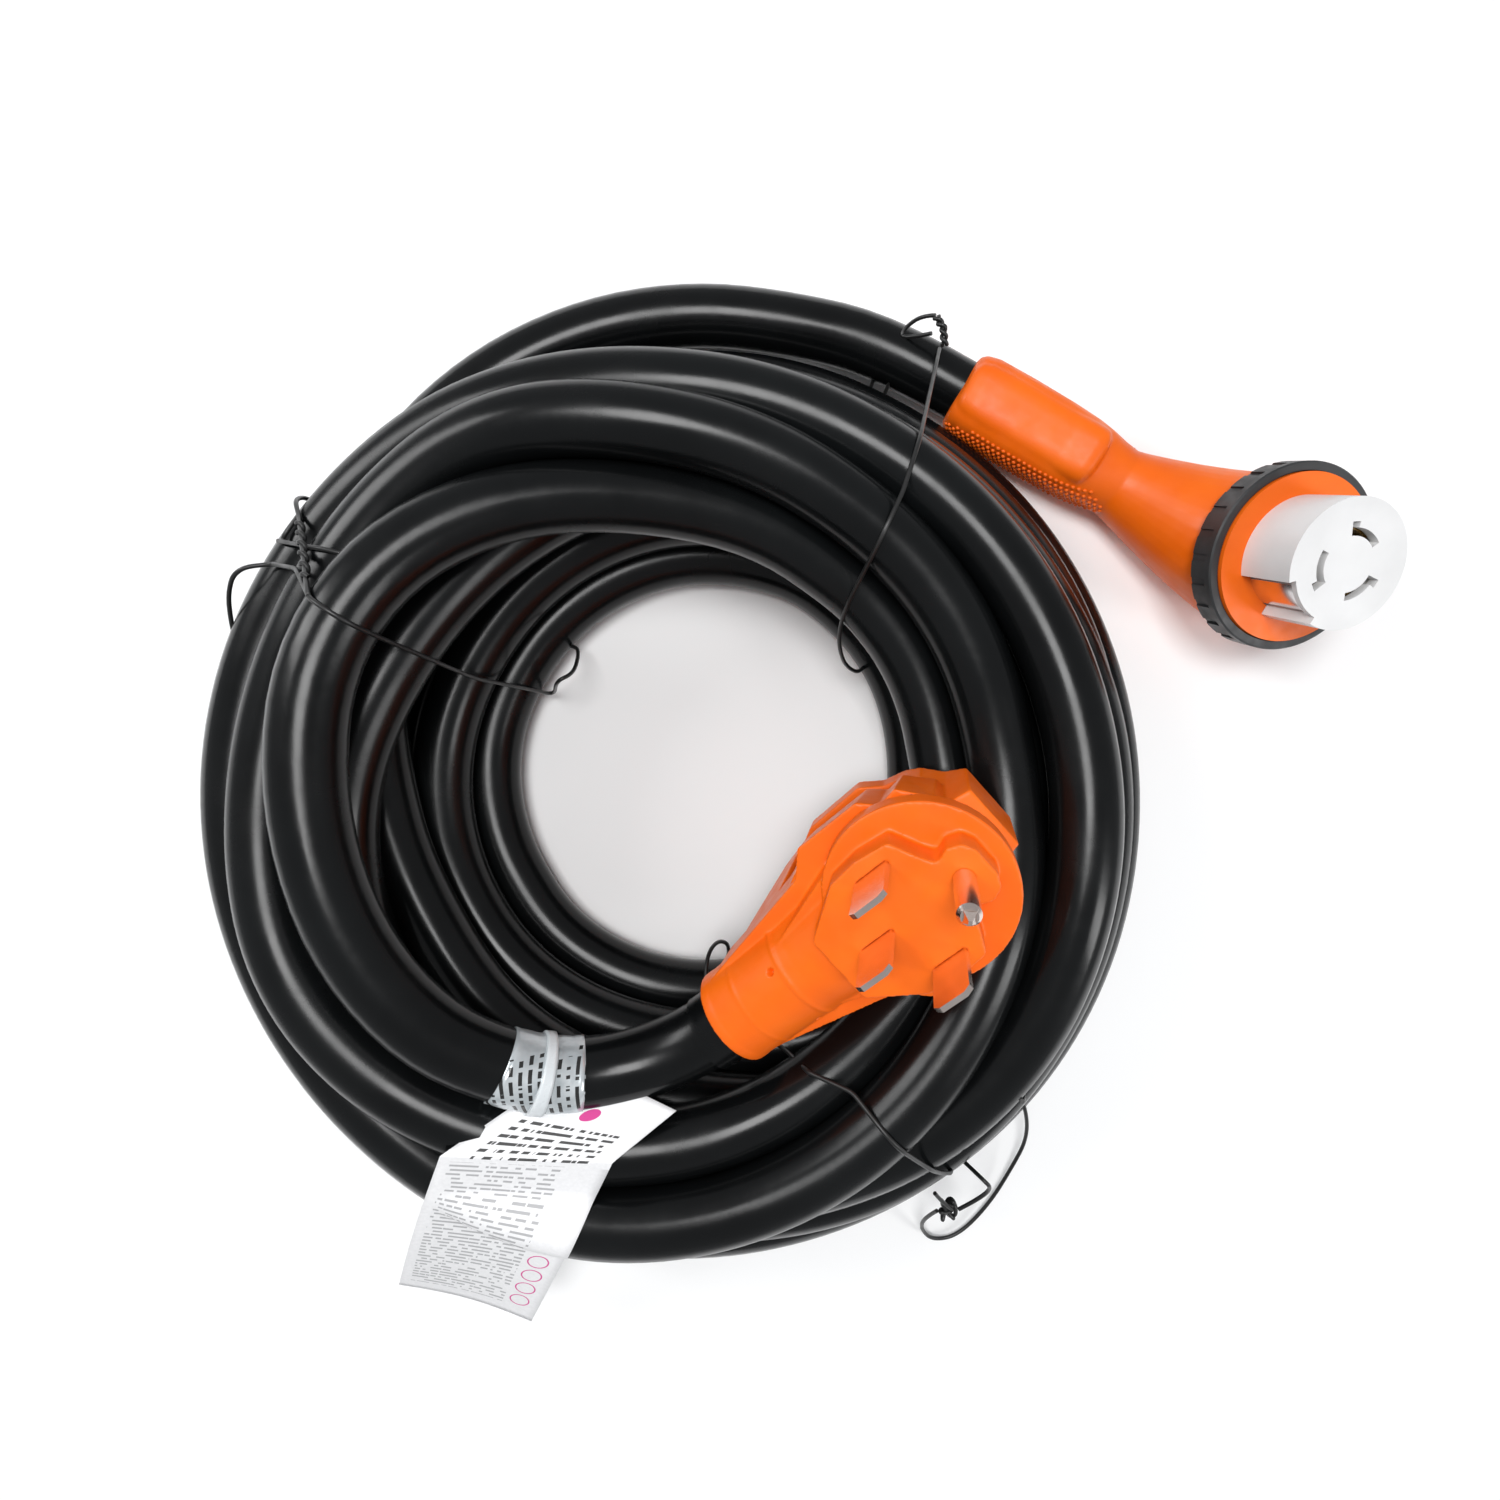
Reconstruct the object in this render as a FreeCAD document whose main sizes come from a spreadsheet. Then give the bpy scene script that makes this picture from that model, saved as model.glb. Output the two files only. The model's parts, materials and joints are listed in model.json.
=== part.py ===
import FreeCAD, Part
import Sketcher
import math
import os
from FreeCAD import Matrix, Placement, Rotation, Vector

# A 50 A shore power cord, coiled for storage: a right-angle four-prong plug with a pull
# handle, a thick four-core cable, and an angled twist-lock connector with a locking ring.
# Frame: +Z up, the floor at Z = 0. Places on the floor are measured from the coil's axis.

doc = FreeCAD.newDocument("shore_power_cord")
dim = doc.addObject("Spreadsheet::Sheet", "dim")

SIZES = [
    # the cable and its coil
    ("coil_x", -53.5), ("coil_y", 10.5), ("cable_dia", 26), ("coil_outer", 200), ("coil_inner", 84),
    ("coil_height", 93), ("coil_low_band", 45), ("coil_shoulder", 166), ("hole_x", 13), ("hole_y", 12),
    ("hole_lip", 24), ("hole_flare", 114),
    # plug: moulded body and handle
    ("boss_high", 11.5), ("boss_tail", 30), ("boss_wide", 24.5), ("lobe_wide", 10), ("lobe_reach", 29),
    ("flange_dia", 63), ("flange_thick", 8), ("flange_shift", 3.5), ("neck_dia", 37),
    ("neck_end_dia", 35), ("neck_axis", 26), ("neck_reach", 84), ("body_depth", 46),
    ("handle_depth", 79), ("handle_thick", 9), ("handle_wide", 57), ("handle_narrow", 24),
    ("cavity_long", 46), ("cavity_wide", 41), ("cavity_top", 14), ("cavity_floor", 42.5),
    ("jacket_end", 52),
    # plug: metal and inner parts
    ("line_spacing", 36.5), ("neutral_drop", 13.6), ("ground_rise", 20.4), ("blade_wide", 12.7),
    ("blade_thick", 1.8), ("blade_long", 23.5), ("blade_root", 28), ("blade_corner", 2),
    ("pin_dia", 7.1), ("pin_root_dia", 6.3), ("pin_long", 24), ("pin_tip", 5), ("core_deep", 10.5),
    ("sleeve_long", 12), ("sleeve_wall", 1.2), ("wire_dia", 6.4), ("wire_gap", 3.9), ("crimp_dia", 8),
    ("crimp_long", 9),
    # connector: housing and handle
    ("grip_long", 141), ("grip_wide", 35), ("grip_corner", 11), ("grip_end_round", 4),
    ("grip_bore_end", 72), ("neck_long", 66), ("bell_front", 22.4), ("bell_mouth", 34),
    ("channel_dia", 25), ("seat_depth", 10.4), ("seat_dia", 54), ("hollow_dia", 44),
    # connector: collar, insert and contacts
    ("collar_dia", 67.2), ("collar_front", 36.3), ("collar_thick", 3.5), ("collar_neck", 61),
    ("collar_bore", 44), ("insert_dia", 49.6), ("insert_base_dia", 48.6), ("insert_front", 61.1),
    ("insert_wall", 3.2), ("insert_face", 4), ("insert_seat", 30), ("notch_turn", 69),
    ("notch_angle", 48), ("notch_deep", 5), ("slot_inner", 10.6), ("slot_outer", 13.6),
    ("slot_arc", 62), ("slot_turn", 37), ("contact_thick", 1.1), ("contact_gap", 2.2),
    ("strip_wide", 12), ("strip_thick", 1.2),
    # connector: locking ring
    ("ring_dia", 75), ("ring_wide", 12), ("ring_bore", 68), ("ring_lip_bore", 61.8), ("ring_lip", 5),
    ("ring_front", 34.7), ("knurls", 24), ("knurl_wide", 3), ("knurl_deep", 0.9), ("washer_thick", 1.4),
    ("washer_dia", 67.2), ("washer_gap", 0.3),
    # things on the cable
    ("label_from", 62), ("label_wide", 30), ("label_thick", 0.4), ("tie_wide", 4.6), ("tie_thick", 1.3),
    ("tag_wide", 60), ("tag_thick", 0.4), ("twist_wire", 2),
]
for row, (alias, value) in enumerate(SIZES, start=1):
    dim.set(f"A{row}", alias)
    dim.set(f"B{row}", str(value))
    dim.setAlias(f"B{row}", alias)
doc.recompute()

SUB_PARTS = []


def num(expression):
    """The number that an expression over the sheet has now."""
    return float(dim.evalExpression(expression))


def keep(obj, label, placement=None):
    """Name a finished sub-part and put it in its place."""
    obj.Label = label
    if placement is not None:
        obj.Placement = placement
    SUB_PARTS.append(obj)
    return obj


def keep_shape(shape, label, placement=None):
    """A sub-part whose shape is worked out in this script."""
    feature = doc.addObject("Part::Feature", label)
    feature.Shape = shape
    return keep(feature, label, placement)


def frame_at(origin, x_axis, z_axis):
    """A placement with local Z along z_axis and local X as near x_axis as that allows."""
    z_dir = Vector(*z_axis).normalize()
    x_dir = Vector(*x_axis)
    x_dir = (x_dir - z_dir * x_dir.dot(z_dir)).normalize()
    y_dir = z_dir.cross(x_dir)
    turn = Matrix(x_dir.x, y_dir.x, z_dir.x, 0, x_dir.y, y_dir.y, z_dir.y, 0,
                  x_dir.z, y_dir.z, z_dir.z, 0)
    return Placement(origin, Rotation(turn))


def spot(x, y, z):
    """A place given from the coil's axis."""
    return Vector(num("dim.coil_x") + x, num("dim.coil_y") + y, z)


# ---------------------------------------------------------------- sketches and bodies

def new_body(name):
    return doc.addObject("PartDesign::Body", name + "_body")


def new_sketch(body, name, plane="XY_Plane", lift=None):
    """A sketch on one of the body's own origin planes, raised off it by an expression."""
    sketch = body.newObject("Sketcher::SketchObject", name)
    planes = {feature.Role: feature for feature in body.Origin.OriginFeatures}
    sketch.AttachmentSupport = [(planes[plane], "")]
    sketch.MapMode = "FlatFace"
    if lift is not None:
        sketch.setExpression("AttachmentOffset.Base.z", lift)
    return sketch


def outline(sketch, corners):
    """A closed outline of straight edges, each corner's place bound to the sheet."""
    places = [Vector(num(x), num(y), 0) for x, y in corners]
    edges = [sketch.addGeometry(Part.LineSegment(start, end))
             for start, end in zip(places, places[1:] + places[:1])]
    for edge, following in zip(edges, edges[1:] + edges[:1]):
        sketch.addConstraint(Sketcher.Constraint("Coincident", edge, 2, following, 1))
    for edge, place, corner in zip(edges, places, corners):
        for kind, axis, value, expression in (("DistanceX", -2, place.x, corner[0]),
                                              ("DistanceY", -1, place.y, corner[1])):
            if abs(value) < 1e-9:
                sketch.addConstraint(Sketcher.Constraint("PointOnObject", edge, 1, axis))
            else:
                index = sketch.addConstraint(Sketcher.Constraint(kind, -1, 1, edge, 1, value))
                sketch.setExpression(f"Constraints[{index}]", expression)


def pad(body, sketch, length):
    feature = body.newObject("PartDesign::Pad", sketch.Name + "_pad")
    feature.Profile = sketch
    feature.setExpression("Length", length)
    sketch.Visibility = False
    return feature


def turned(name, corners):
    """A body turned about its own Z axis: corners are (radius, height) pairs."""
    body = new_body(name)
    sketch = new_sketch(body, name + "_profile", "XZ_Plane")
    outline(sketch, corners)
    turn = body.newObject("PartDesign::Revolution", name + "_turn")
    turn.Profile = sketch
    turn.ReferenceAxis = (sketch, ["V_Axis"])
    turn.Angle = 360
    return body


# ---------------------------------------------------------------- tubes along a route

def path_along(points):
    """Straight runs joined by tangent arcs, each arc as large as its two runs allow."""
    edges, radii, start = [], [], points[0]
    for before, corner, after in zip(points, points[1:], points[2:]):
        inward = (corner - before).normalize()
        outward = (after - corner).normalize()
        half_turn = inward.getAngle(outward) / 2
        reach = 0.45 * min((corner - before).Length, (after - corner).Length)
        radius = reach / math.tan(half_turn)
        arc_start, arc_end = corner - inward * reach, corner + outward * reach
        middle = corner + (outward - inward).normalize() * (radius / math.cos(half_turn) - radius)
        edges += [Part.LineSegment(start, arc_start).toShape(), Part.Arc(arc_start, middle, arc_end).toShape()]
        radii.append(radius)
        start = arc_end
    edges.append(Part.LineSegment(start, points[-1]).toShape())
    return Part.Wire(edges), radii


def sweep(path, radius):
    start = path.OrderedEdges[0]
    along = start.tangentAt(start.FirstParameter)
    section = Part.Wire([Part.Circle(start.valueAt(start.FirstParameter), along, radius).toShape()])
    return path.makePipeShell([section], True, False)


def tube(points, dia, name):
    """A round tube along a route, with its radii and volume printed as a check."""
    path, radii = path_along(points)
    solid = sweep(path, dia / 2)
    expected = math.pi * dia ** 2 / 4 * path.Length
    print(f"{name}: {path.Length:.0f} mm long, radii " + " ".join(f"{r:.0f}" for r in radii)
          + f", volume {solid.Volume:.0f} against {expected:.0f}")
    return solid


def piece_of(path, start, end):
    """The part of a path between two distances along it."""
    edges, done = [], 0.0
    for edge in path.OrderedEdges:
        low, high = max(start - done, 0), min(end - done, edge.Length)
        if high - low > 1e-6:
            first = edge.getParameterByLength(low)
            last = edge.getParameterByLength(high)
            edges.append(edge.Curve.toShape(first, last))
        done += edge.Length
    return Part.Wire(edges)


def band(path, start, end, inner, outer):
    """A thin sleeve wrapped round a path."""
    stretch = piece_of(path, start, end)
    return sweep(stretch, outer).cut(sweep(stretch, inner))


# ---------------------------------------------------------------- where the ends lie

# The plug lies face up on the coil's inner slope; the connector lies outside it on the floor.
PLUG = frame_at(spot(82.4, -31.4, 134), (0.717, 0.625, 0.309), (-0.19, -0.251, 0.949))
HEAD_AXIS = (0.173, -0.308, 0.936)
GRIP_AXIS = (-0.862, 0.507, 0)
HEAD = frame_at(spot(247.4, 108.4, 18.8), GRIP_AXIS, HEAD_AXIS)
GRIP_LOCAL = HEAD.Rotation.inverted().multVec(Vector(*GRIP_AXIS).normalize())
GRIP_UP = Vector(-GRIP_LOCAL.z, 0, GRIP_LOCAL.x)


# ---------------------------------------------------------------- cable

def in_plug(x, y, z):
    return PLUG.multVec(Vector(x, y, z))


def along_grip(distance, aside=0.0, up=0.0):
    """A place in the connector's own frame, out along its handle from the elbow."""
    return GRIP_LOCAL * distance + Vector(0, aside, 0) + GRIP_UP * up


def build_cable():
    dia = num("dim.cable_dia")
    axis, reach = -num("dim.neck_axis"), num("dim.neck_reach")
    top_turn = [in_plug(-reach, 0, axis), in_plug(-reach - 13, 0, axis), spot(-4, -96, 78),
                spot(-28, -100, 82), spot(-52, -95, 91), spot(-81, -77, 101), spot(-105, -42, 108),
                spot(-117, 3, 110), spot(-114, 50, 109), spot(-92, 87, 103), spot(-54, 109, 94),
                spot(-8, 114, 83), spot(38, 107, 72), spot(72, 86, 63)]
    grip = num("dim.grip_long")
    free_arc = [HEAD.multVec(along_grip(grip)), HEAD.multVec(along_grip(grip + 38)), spot(51, 212, 13.5),
                spot(8, 217, 13), spot(-38, 210, 13), spot(-82, 190, 13), spot(-118, 159, 13),
                spot(-146, 116, 13)]
    keep_shape(tube(top_turn, dia, "cable_top_turn"), "cable_top_turn")
    keep_shape(tube(free_arc, dia, "cable_free_arc"), "cable_free_arc")
    return top_turn, free_arc


def build_coil(top_turn):
    """The outer shape of the wound turns: a heap with a hole that widens upwards."""
    heap = turned("coil_heap", [
        ("dim.coil_inner - 12", "0"), ("dim.coil_outer - 5", "0"), ("dim.coil_outer", "5"),
        ("dim.coil_outer", "dim.coil_low_band"), ("dim.coil_shoulder", "dim.coil_height"),
        ("dim.coil_inner - 12", "dim.coil_height")])
    heap.Placement = Placement(spot(0, 0, 0), Rotation())
    well = turned("coil_well", [
        ("0", "-1"), ("dim.coil_inner", "-1"), ("dim.coil_inner", "dim.hole_lip"),
        ("dim.hole_flare", "dim.coil_height"), ("dim.hole_flare", "dim.coil_height + 1"),
        ("0", "dim.coil_height + 1")])
    well.Placement = Placement(spot(num("dim.hole_x"), num("dim.hole_y"), 0), Rotation())
    relief = doc.addObject("Part::Box", "plug_relief")
    relief.setExpression("Length", "dim.neck_reach + dim.flange_dia / 2 + 8")
    relief.setExpression("Width", "dim.flange_dia + 4")
    relief.setExpression("Height", "dim.handle_depth + 2")
    relief.Placement = PLUG.multiply(Placement(
        Vector(-num("dim.neck_reach") - 2, -num("dim.flange_dia") / 2 - 2, -num("dim.handle_depth") - 1),
        Rotation()))
    tools = doc.addObject("Part::MultiFuse", "coil_openings")
    tools.Shapes = [well, relief]
    coil = doc.addObject("Part::Cut", "coil")
    coil.Base = heap
    coil.Tool = tools
    return keep(coil, "cable_coil")


# ---------------------------------------------------------------- plug

def boss_outline():
    """Half of the boss's outline, from its tail towards the ground pin, as (x, y)."""
    wide, lobe, reach = num("dim.boss_wide"), num("dim.lobe_wide"), num("dim.lobe_reach")
    tail = num("dim.boss_tail")
    return [(-tail, wide * 0.5), (-tail * 0.42, wide * 0.95), (-2, wide), (10, wide * 0.94),
            (14.5, wide * 0.56), (17.5, lobe - 1.2), (22.5, lobe + 0.8), (reach - 2, lobe - 1),
            (reach, lobe - 5)]


def rounded_prism(corners, low, high, radius):
    """A prism whose upright edges are rounded."""
    points = [Vector(x, y, low) for x, y in corners]
    prism = Part.Face(Part.makePolygon(points + points[:1])).extrude(Vector(0, 0, high - low))
    upright = [edge for edge in prism.Edges
               if abs(edge.tangentAt(edge.FirstParameter).z) > 0.99]
    return prism.makeFillet(radius, upright)


def build_plug_body():
    """Boss, flange, barrel, cable neck and the strap handle on the back, moulded in one."""
    half = boss_outline()
    corners = half + [(x, -y) for x, y in reversed(half)]
    boss_base = -num("dim.boss_high")
    boss = rounded_prism(corners, boss_base - 1, 0, 2)
    flange_low = boss_base - num("dim.flange_thick")
    flange_r, shift = num("dim.flange_dia") / 2, num("dim.flange_shift")
    flange = Part.makeCylinder(flange_r, num("dim.flange_thick"), Vector(shift, 0, flange_low))
    depth, axis = num("dim.body_depth"), num("dim.neck_axis")
    barrel = Part.makeCone(flange_r - 7, flange_r - 2, depth + flange_low, Vector(shift, 0, -depth))
    reach = num("dim.neck_reach")
    back = Vector(-1, 0, 0)
    neck = Part.makeCone(num("dim.neck_dia") / 2 + 4, num("dim.neck_dia") / 2, 34,
                         Vector(-10, 0, -axis), back)
    tail = Part.makeCone(num("dim.neck_dia") / 2, num("dim.neck_end_dia") / 2, reach - 44,
                         Vector(-44, 0, -axis), back)
    shoulder = Part.makeLoft([
        Part.makePolygon([Vector(x, y, z) for y, z in ring + ring[:1]])
        for x, ring in ((-52, [(13, -15), (13, -24), (-13, -24), (-13, -15)]),
                        (-16, [(24, flange_low + 5), (26, -34), (-26, -34), (-24, flange_low + 5)]))],
        True, True)
    body = boss.fuse([flange, barrel, neck, tail, shoulder, build_handle()])
    return body.removeSplitter()


def build_handle():
    """A strap that leaves the neck, runs behind the fingers and joins the barrel's far end."""
    outer, thick = num("dim.handle_depth"), num("dim.handle_thick")
    back = num("dim.body_depth")
    reach = num("dim.neck_reach")
    outside = [(-reach, -33), (-reach + 4, -44), (-50, -outer), (14, -outer), (35, -outer + 22), (35, -30),
               (12, -24), (-reach, -24)]
    inside = [(-46, -back), (-40, -outer + thick), (9, -outer + thick), (18, -outer + thick + 8), (16, -back)]
    wide, narrow = num("dim.handle_wide") / 2, num("dim.handle_narrow") / 2

    def slab(points, half):
        corners = [Vector(x, -half, z) for x, z in points]
        return Part.Face(Part.makePolygon(corners + corners[:1])).extrude(Vector(0, 2 * half, 0))

    loop = slab(outside, wide).cut(slab(inside, wide + 1))
    plan = [(-reach, narrow), (-62, wide * 0.62), (-36, wide * 0.84), (-28, wide * 0.98), (-3, wide),
            (5, wide * 0.8), (20, wide * 0.67), (27, narrow + 2), (36, narrow)]
    trim = rounded_prism(plan + [(x, -y) for x, y in reversed(plan)], -outer - 1, -20, 2)
    return loop.common(trim)


def plug_hollow():
    """The space that the mould leaves for the core, the wires and the end of the jacket."""
    top, floor = num("dim.cavity_top"), num("dim.cavity_floor")
    long, wide = num("dim.cavity_long"), num("dim.cavity_wide")
    space = Part.makeBox(long, wide, floor - top, Vector(2 - long / 2, -wide / 2, -floor))
    reach, end = num("dim.neck_reach"), num("dim.jacket_end")
    axis = Vector(-1, 0, 0)
    throat = Part.makeCylinder(10.5, end - 18, Vector(-18, 0, -num("dim.neck_axis")), axis)
    funnel = Part.makeCone(17, 10.5, 22, Vector(-18, 0, -num("dim.neck_axis")), axis)
    jacket = Part.makeCylinder(num("dim.cable_dia") / 2, reach - end + 1,
                               Vector(-end, 0, -num("dim.neck_axis")), axis)
    return space.fuse([throat, funnel, jacket])


def blade_place(x, y):
    return PLUG.multiply(Placement(Vector(x, y, 0), Rotation()))


def build_blade(label, x, y):
    """A flat prong with clipped tip corners, whose root ends in the core."""
    body = new_body(label)
    sketch = new_sketch(body, label + "_face", "XZ_Plane")
    half, tip = "dim.blade_wide / 2", "dim.blade_long"
    outline(sketch, [("-" + half, "-dim.blade_root"), (half, "-dim.blade_root"),
                     (half, tip + " - dim.blade_corner"), (half + " - dim.blade_corner", tip),
                     ("dim.blade_corner - " + half, tip), ("-" + half, tip + " - dim.blade_corner")])
    blade = pad(body, sketch, "dim.blade_thick")
    blade.Midplane = True
    return keep(body, label, blade_place(x, y))


def build_ground_pin(x):
    """A round pin with a faceted tip; its root is as deep as the blades'."""
    radius = num("dim.pin_dia") / 2
    tip, long = num("dim.pin_tip"), num("dim.pin_long")
    root = num("dim.blade_root") + 9
    shank = Part.makeCylinder(radius, long)
    shank = shank.fuse(Part.makeCylinder(num("dim.pin_root_dia") / 2, root, Vector(0, 0, -root)))
    square = [Vector(radius, 0, 0), Vector(0, radius, 0), Vector(-radius, 0, 0), Vector(0, -radius, 0)]
    small = [corner * 0.22 for corner in square]
    wires = [Part.makePolygon([corner + Vector(0, 0, z) for corner in ring + ring[:1]])
             for z, ring in ((long - 0.01, square), (long + tip, small))]
    point = Part.makeLoft(wires, True, True)
    cap = Part.makeCone(radius, radius * 0.72, 1.6, Vector(0, 0, long))
    return keep_shape(shank.fuse([point, cap]), "plug_ground_pin", blade_place(x, 0))


def build_plug():
    half_gap, drop, rise = num("dim.line_spacing / 2"), num("dim.neutral_drop"), num("dim.ground_rise")
    blades = [("plug_blade_line_1", 0, half_gap), ("plug_blade_line_2", 0, -half_gap),
              ("plug_blade_neutral", -drop, 0)]
    body = build_plug_body().cut(plug_hollow())
    thick, wide = num("dim.blade_thick"), num("dim.blade_wide")
    root, pin = num("dim.blade_root"), num("dim.pin_root_dia") / 2
    slots = [Part.makeBox(wide, thick, root + 1, Vector(x - wide / 2, y - thick / 2, -root))
             for _, x, y in blades]
    slots.append(Part.makeCylinder(pin, root + 1, Vector(rise, 0, -root)))
    keep_shape(body.cut(slots), "plug_body", PLUG)
    top, deep = num("dim.cavity_top"), num("dim.core_deep")
    long, across = num("dim.cavity_long") - 0.4, num("dim.cavity_wide") - 0.4
    core = Part.makeBox(long, across, deep, Vector(2 - long / 2, -across / 2, -top - deep))
    keep_shape(core.cut(slots), "plug_core", PLUG)
    for label, x, y in blades:
        build_blade(label, x, y)
    build_ground_pin(rise)
    build_plug_wiring(half_gap, drop, rise)


def build_plug_wiring(half_gap, drop, rise):
    """Crimped barrels on the roots, and the four cores that run on into the jacket."""
    root = num("dim.blade_root")
    gap, axis, end = num("dim.wire_gap"), num("dim.neck_axis"), num("dim.jacket_end")
    barrel, long = num("dim.crimp_dia") / 2, num("dim.crimp_long")
    level = root + barrel
    starts = {"black": (5, half_gap - 2, -level), "red": (5, 2 - half_gap, -level),
              "white": (-drop + 5, 0, -level), "green": (rise - num("dim.pin_root_dia / 2"), 0, -level)}
    barrels = [Part.makeCylinder(barrel, long, Vector(x, y, z), Vector(-1, 0, 0))
               for x, y, z in starts.values()]
    keep_shape(Part.makeCompound(barrels), "plug_crimps", PLUG)
    ends = {"black": (gap, gap - axis), "red": (-gap, gap - axis),
            "white": (gap, -gap - axis), "green": (-gap, -gap - axis)}
    for colour, (x, y, z) in starts.items():
        side, height = ends[colour]
        route = [Vector(x - long, y, z), Vector(x - long - 5, y, z), Vector(-40, side, height),
                 Vector(-end, side, height)]
        if colour == "green":
            route[2:2] = [Vector(-9, -8.5, z - 3), Vector(-25, -6.5, z - 3.5)]
        keep_shape(tube(route, num("dim.wire_dia"), "plug_wire_" + colour), "plug_wire_" + colour, PLUG)
    jacket = num("dim.neck_reach") - end
    keep_shape(Part.makeCylinder(num("dim.cable_dia") / 2, jacket, Vector(-end, 0, -axis), Vector(-1, 0, 0)),
               "plug_cable_end", PLUG)


# ---------------------------------------------------------------- connector

def rounded_bar(wide, high, corner, long):
    """A bar along +X with rounded long edges."""
    bar = Part.makeBox(long, wide, high, Vector(0, -wide / 2, -high / 2))
    edges = [edge for edge in bar.Edges if abs(edge.tangentAt(edge.FirstParameter).x) > 0.99]
    return bar.makeFillet(corner, edges)


def build_housing():
    """The handle, and the bell that it turns up into."""
    mouth, front = num("dim.bell_mouth"), num("dim.bell_front")
    profile = [(0, -16.5), (9, -14), (14.5, -9), (19, -3), (24, 4), (29.5, 11), (33, 18), (mouth, front),
               (0, front)]
    edge = Part.makePolygon([Vector(r, 0, z) for r, z in profile + profile[:1]])
    bell = Part.Face(edge).revolve(Vector(0, 0, 0), Vector(0, 0, 1), 360)
    long, wide, corner = num("dim.grip_long"), num("dim.grip_wide"), num("dim.grip_corner")
    to_grip = Placement(Vector(0, 0, 0), Rotation(Vector(1, 0, 0), GRIP_LOCAL))
    neck_long = num("dim.neck_long")
    handle = rounded_bar(wide, wide, corner, long - neck_long)
    end_edges = [edge for edge in handle.Edges if edge.BoundBox.XMin > long - neck_long - 0.01]
    handle = handle.makeFillet(num("dim.grip_end_round"), end_edges)
    handle.translate(Vector(neck_long, 0, 0))
    neck = rounded_bar(wide - 5, wide - 3, corner - 1, neck_long + 8)
    handle = handle.fuse(neck)
    bore = Part.makeCylinder(num("dim.cable_dia") / 2, long - num("dim.grip_bore_end") + 1,
                             Vector(num("dim.grip_bore_end"), 0, 0), Vector(1, 0, 0))
    channel = Part.makeCylinder(num("dim.channel_dia") / 2, num("dim.grip_bore_end") + 2, Vector(2, 0, 0),
                                Vector(1, 0, 0))
    for solid in (handle, bore, channel):
        solid.Placement = to_grip
    seat_r, depth = num("dim.seat_dia") / 2, num("dim.seat_depth")
    seat = Part.makeCylinder(seat_r, depth + 1, Vector(0, 0, front - depth))
    hollow = Part.makeCone(11.5, num("dim.hollow_dia") / 2, front - depth + 4.01, Vector(0, 0, -4))
    shell = bell.fuse(handle).cut([bore, channel, seat, hollow])
    keep_shape(shell.removeSplitter(), "connector_housing", HEAD)


def build_collar(notch):
    """The orange disc that the ring turns behind, with the neck that seats in the housing."""
    seat_low = "dim.bell_front - dim.seat_depth"
    back = "dim.collar_front - dim.collar_thick"
    disc = turned("collar_disc", [
        ("dim.collar_bore / 2", seat_low), ("dim.seat_dia / 2", seat_low),
        ("dim.seat_dia / 2", "dim.bell_front"), ("dim.collar_neck / 2", "dim.bell_front"),
        ("dim.collar_neck / 2", back), ("dim.collar_dia / 2", back),
        ("dim.collar_dia / 2", "dim.collar_front"), ("dim.insert_base_dia / 2", "dim.collar_front"),
        ("dim.insert_base_dia / 2", "dim.insert_seat"), ("dim.collar_bore / 2", "dim.insert_seat")])
    radius = num("dim.insert_dia / 2")
    lug = doc.addObject("Part::Feature", "collar_lug")
    lug.Shape = arc_strip(radius - num("dim.notch_deep - dim.strip_thick"), radius + 1, num("dim.insert_seat"),
                          num("dim.collar_front"), notch, num("dim.notch_angle") - 1)
    collar = doc.addObject("Part::MultiFuse", "collar")
    collar.Shapes = [disc, lug]
    keep(collar, "connector_collar", HEAD)


def arc_strip(inner, outer, low, high, angle, span):
    """A curved wall round the Z axis, centred at an angle."""
    wall = Part.makeCylinder(outer, high - low, Vector(0, 0, low), Vector(0, 0, 1), span)
    wall = wall.cut(Part.makeCylinder(inner, high - low + 2, Vector(0, 0, low - 1)))
    wall.rotate(Vector(0, 0, 0), Vector(0, 0, 1), angle - span / 2)
    return wall


def build_insert(notch, slots):
    """The white contact carrier: a cup with three curved slots and a notch for the ground tab."""
    radius, front = num("dim.insert_dia") / 2, num("dim.insert_front")
    seat, wall, face = num("dim.insert_seat"), num("dim.insert_wall"), num("dim.insert_face")
    rim = num("dim.collar_front")
    cup = Part.makeCylinder(radius, front - rim, Vector(0, 0, rim))
    cup = cup.fuse(Part.makeCylinder(num("dim.insert_base_dia") / 2, rim - seat, Vector(0, 0, seat)))
    hollow = Part.makeCylinder(radius - wall - 5, front - seat - face, Vector(0, 0, seat))
    deep, span = num("dim.notch_deep"), num("dim.notch_angle")
    cup = cup.cut([hollow, arc_strip(radius - deep, radius + 1, seat - 1, front - 2.4, notch, span),
                   arc_strip(radius - deep + 2.2, radius + 1, front - 3, front + 1, notch, span)])
    inner, outer, arc = num("dim.slot_inner"), num("dim.slot_outer"), num("dim.slot_arc")
    for turn in slots:
        cup = cup.cut(arc_strip(inner, outer, front - face - 1, front + 1, turn, arc))
        cup = cup.cut(arc_strip(outer - 0.6, outer + 2.2, front - face - 1, front + 1, turn + arc / 2 - 6, 12))
    keep_shape(cup, "connector_insert", HEAD)


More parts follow.
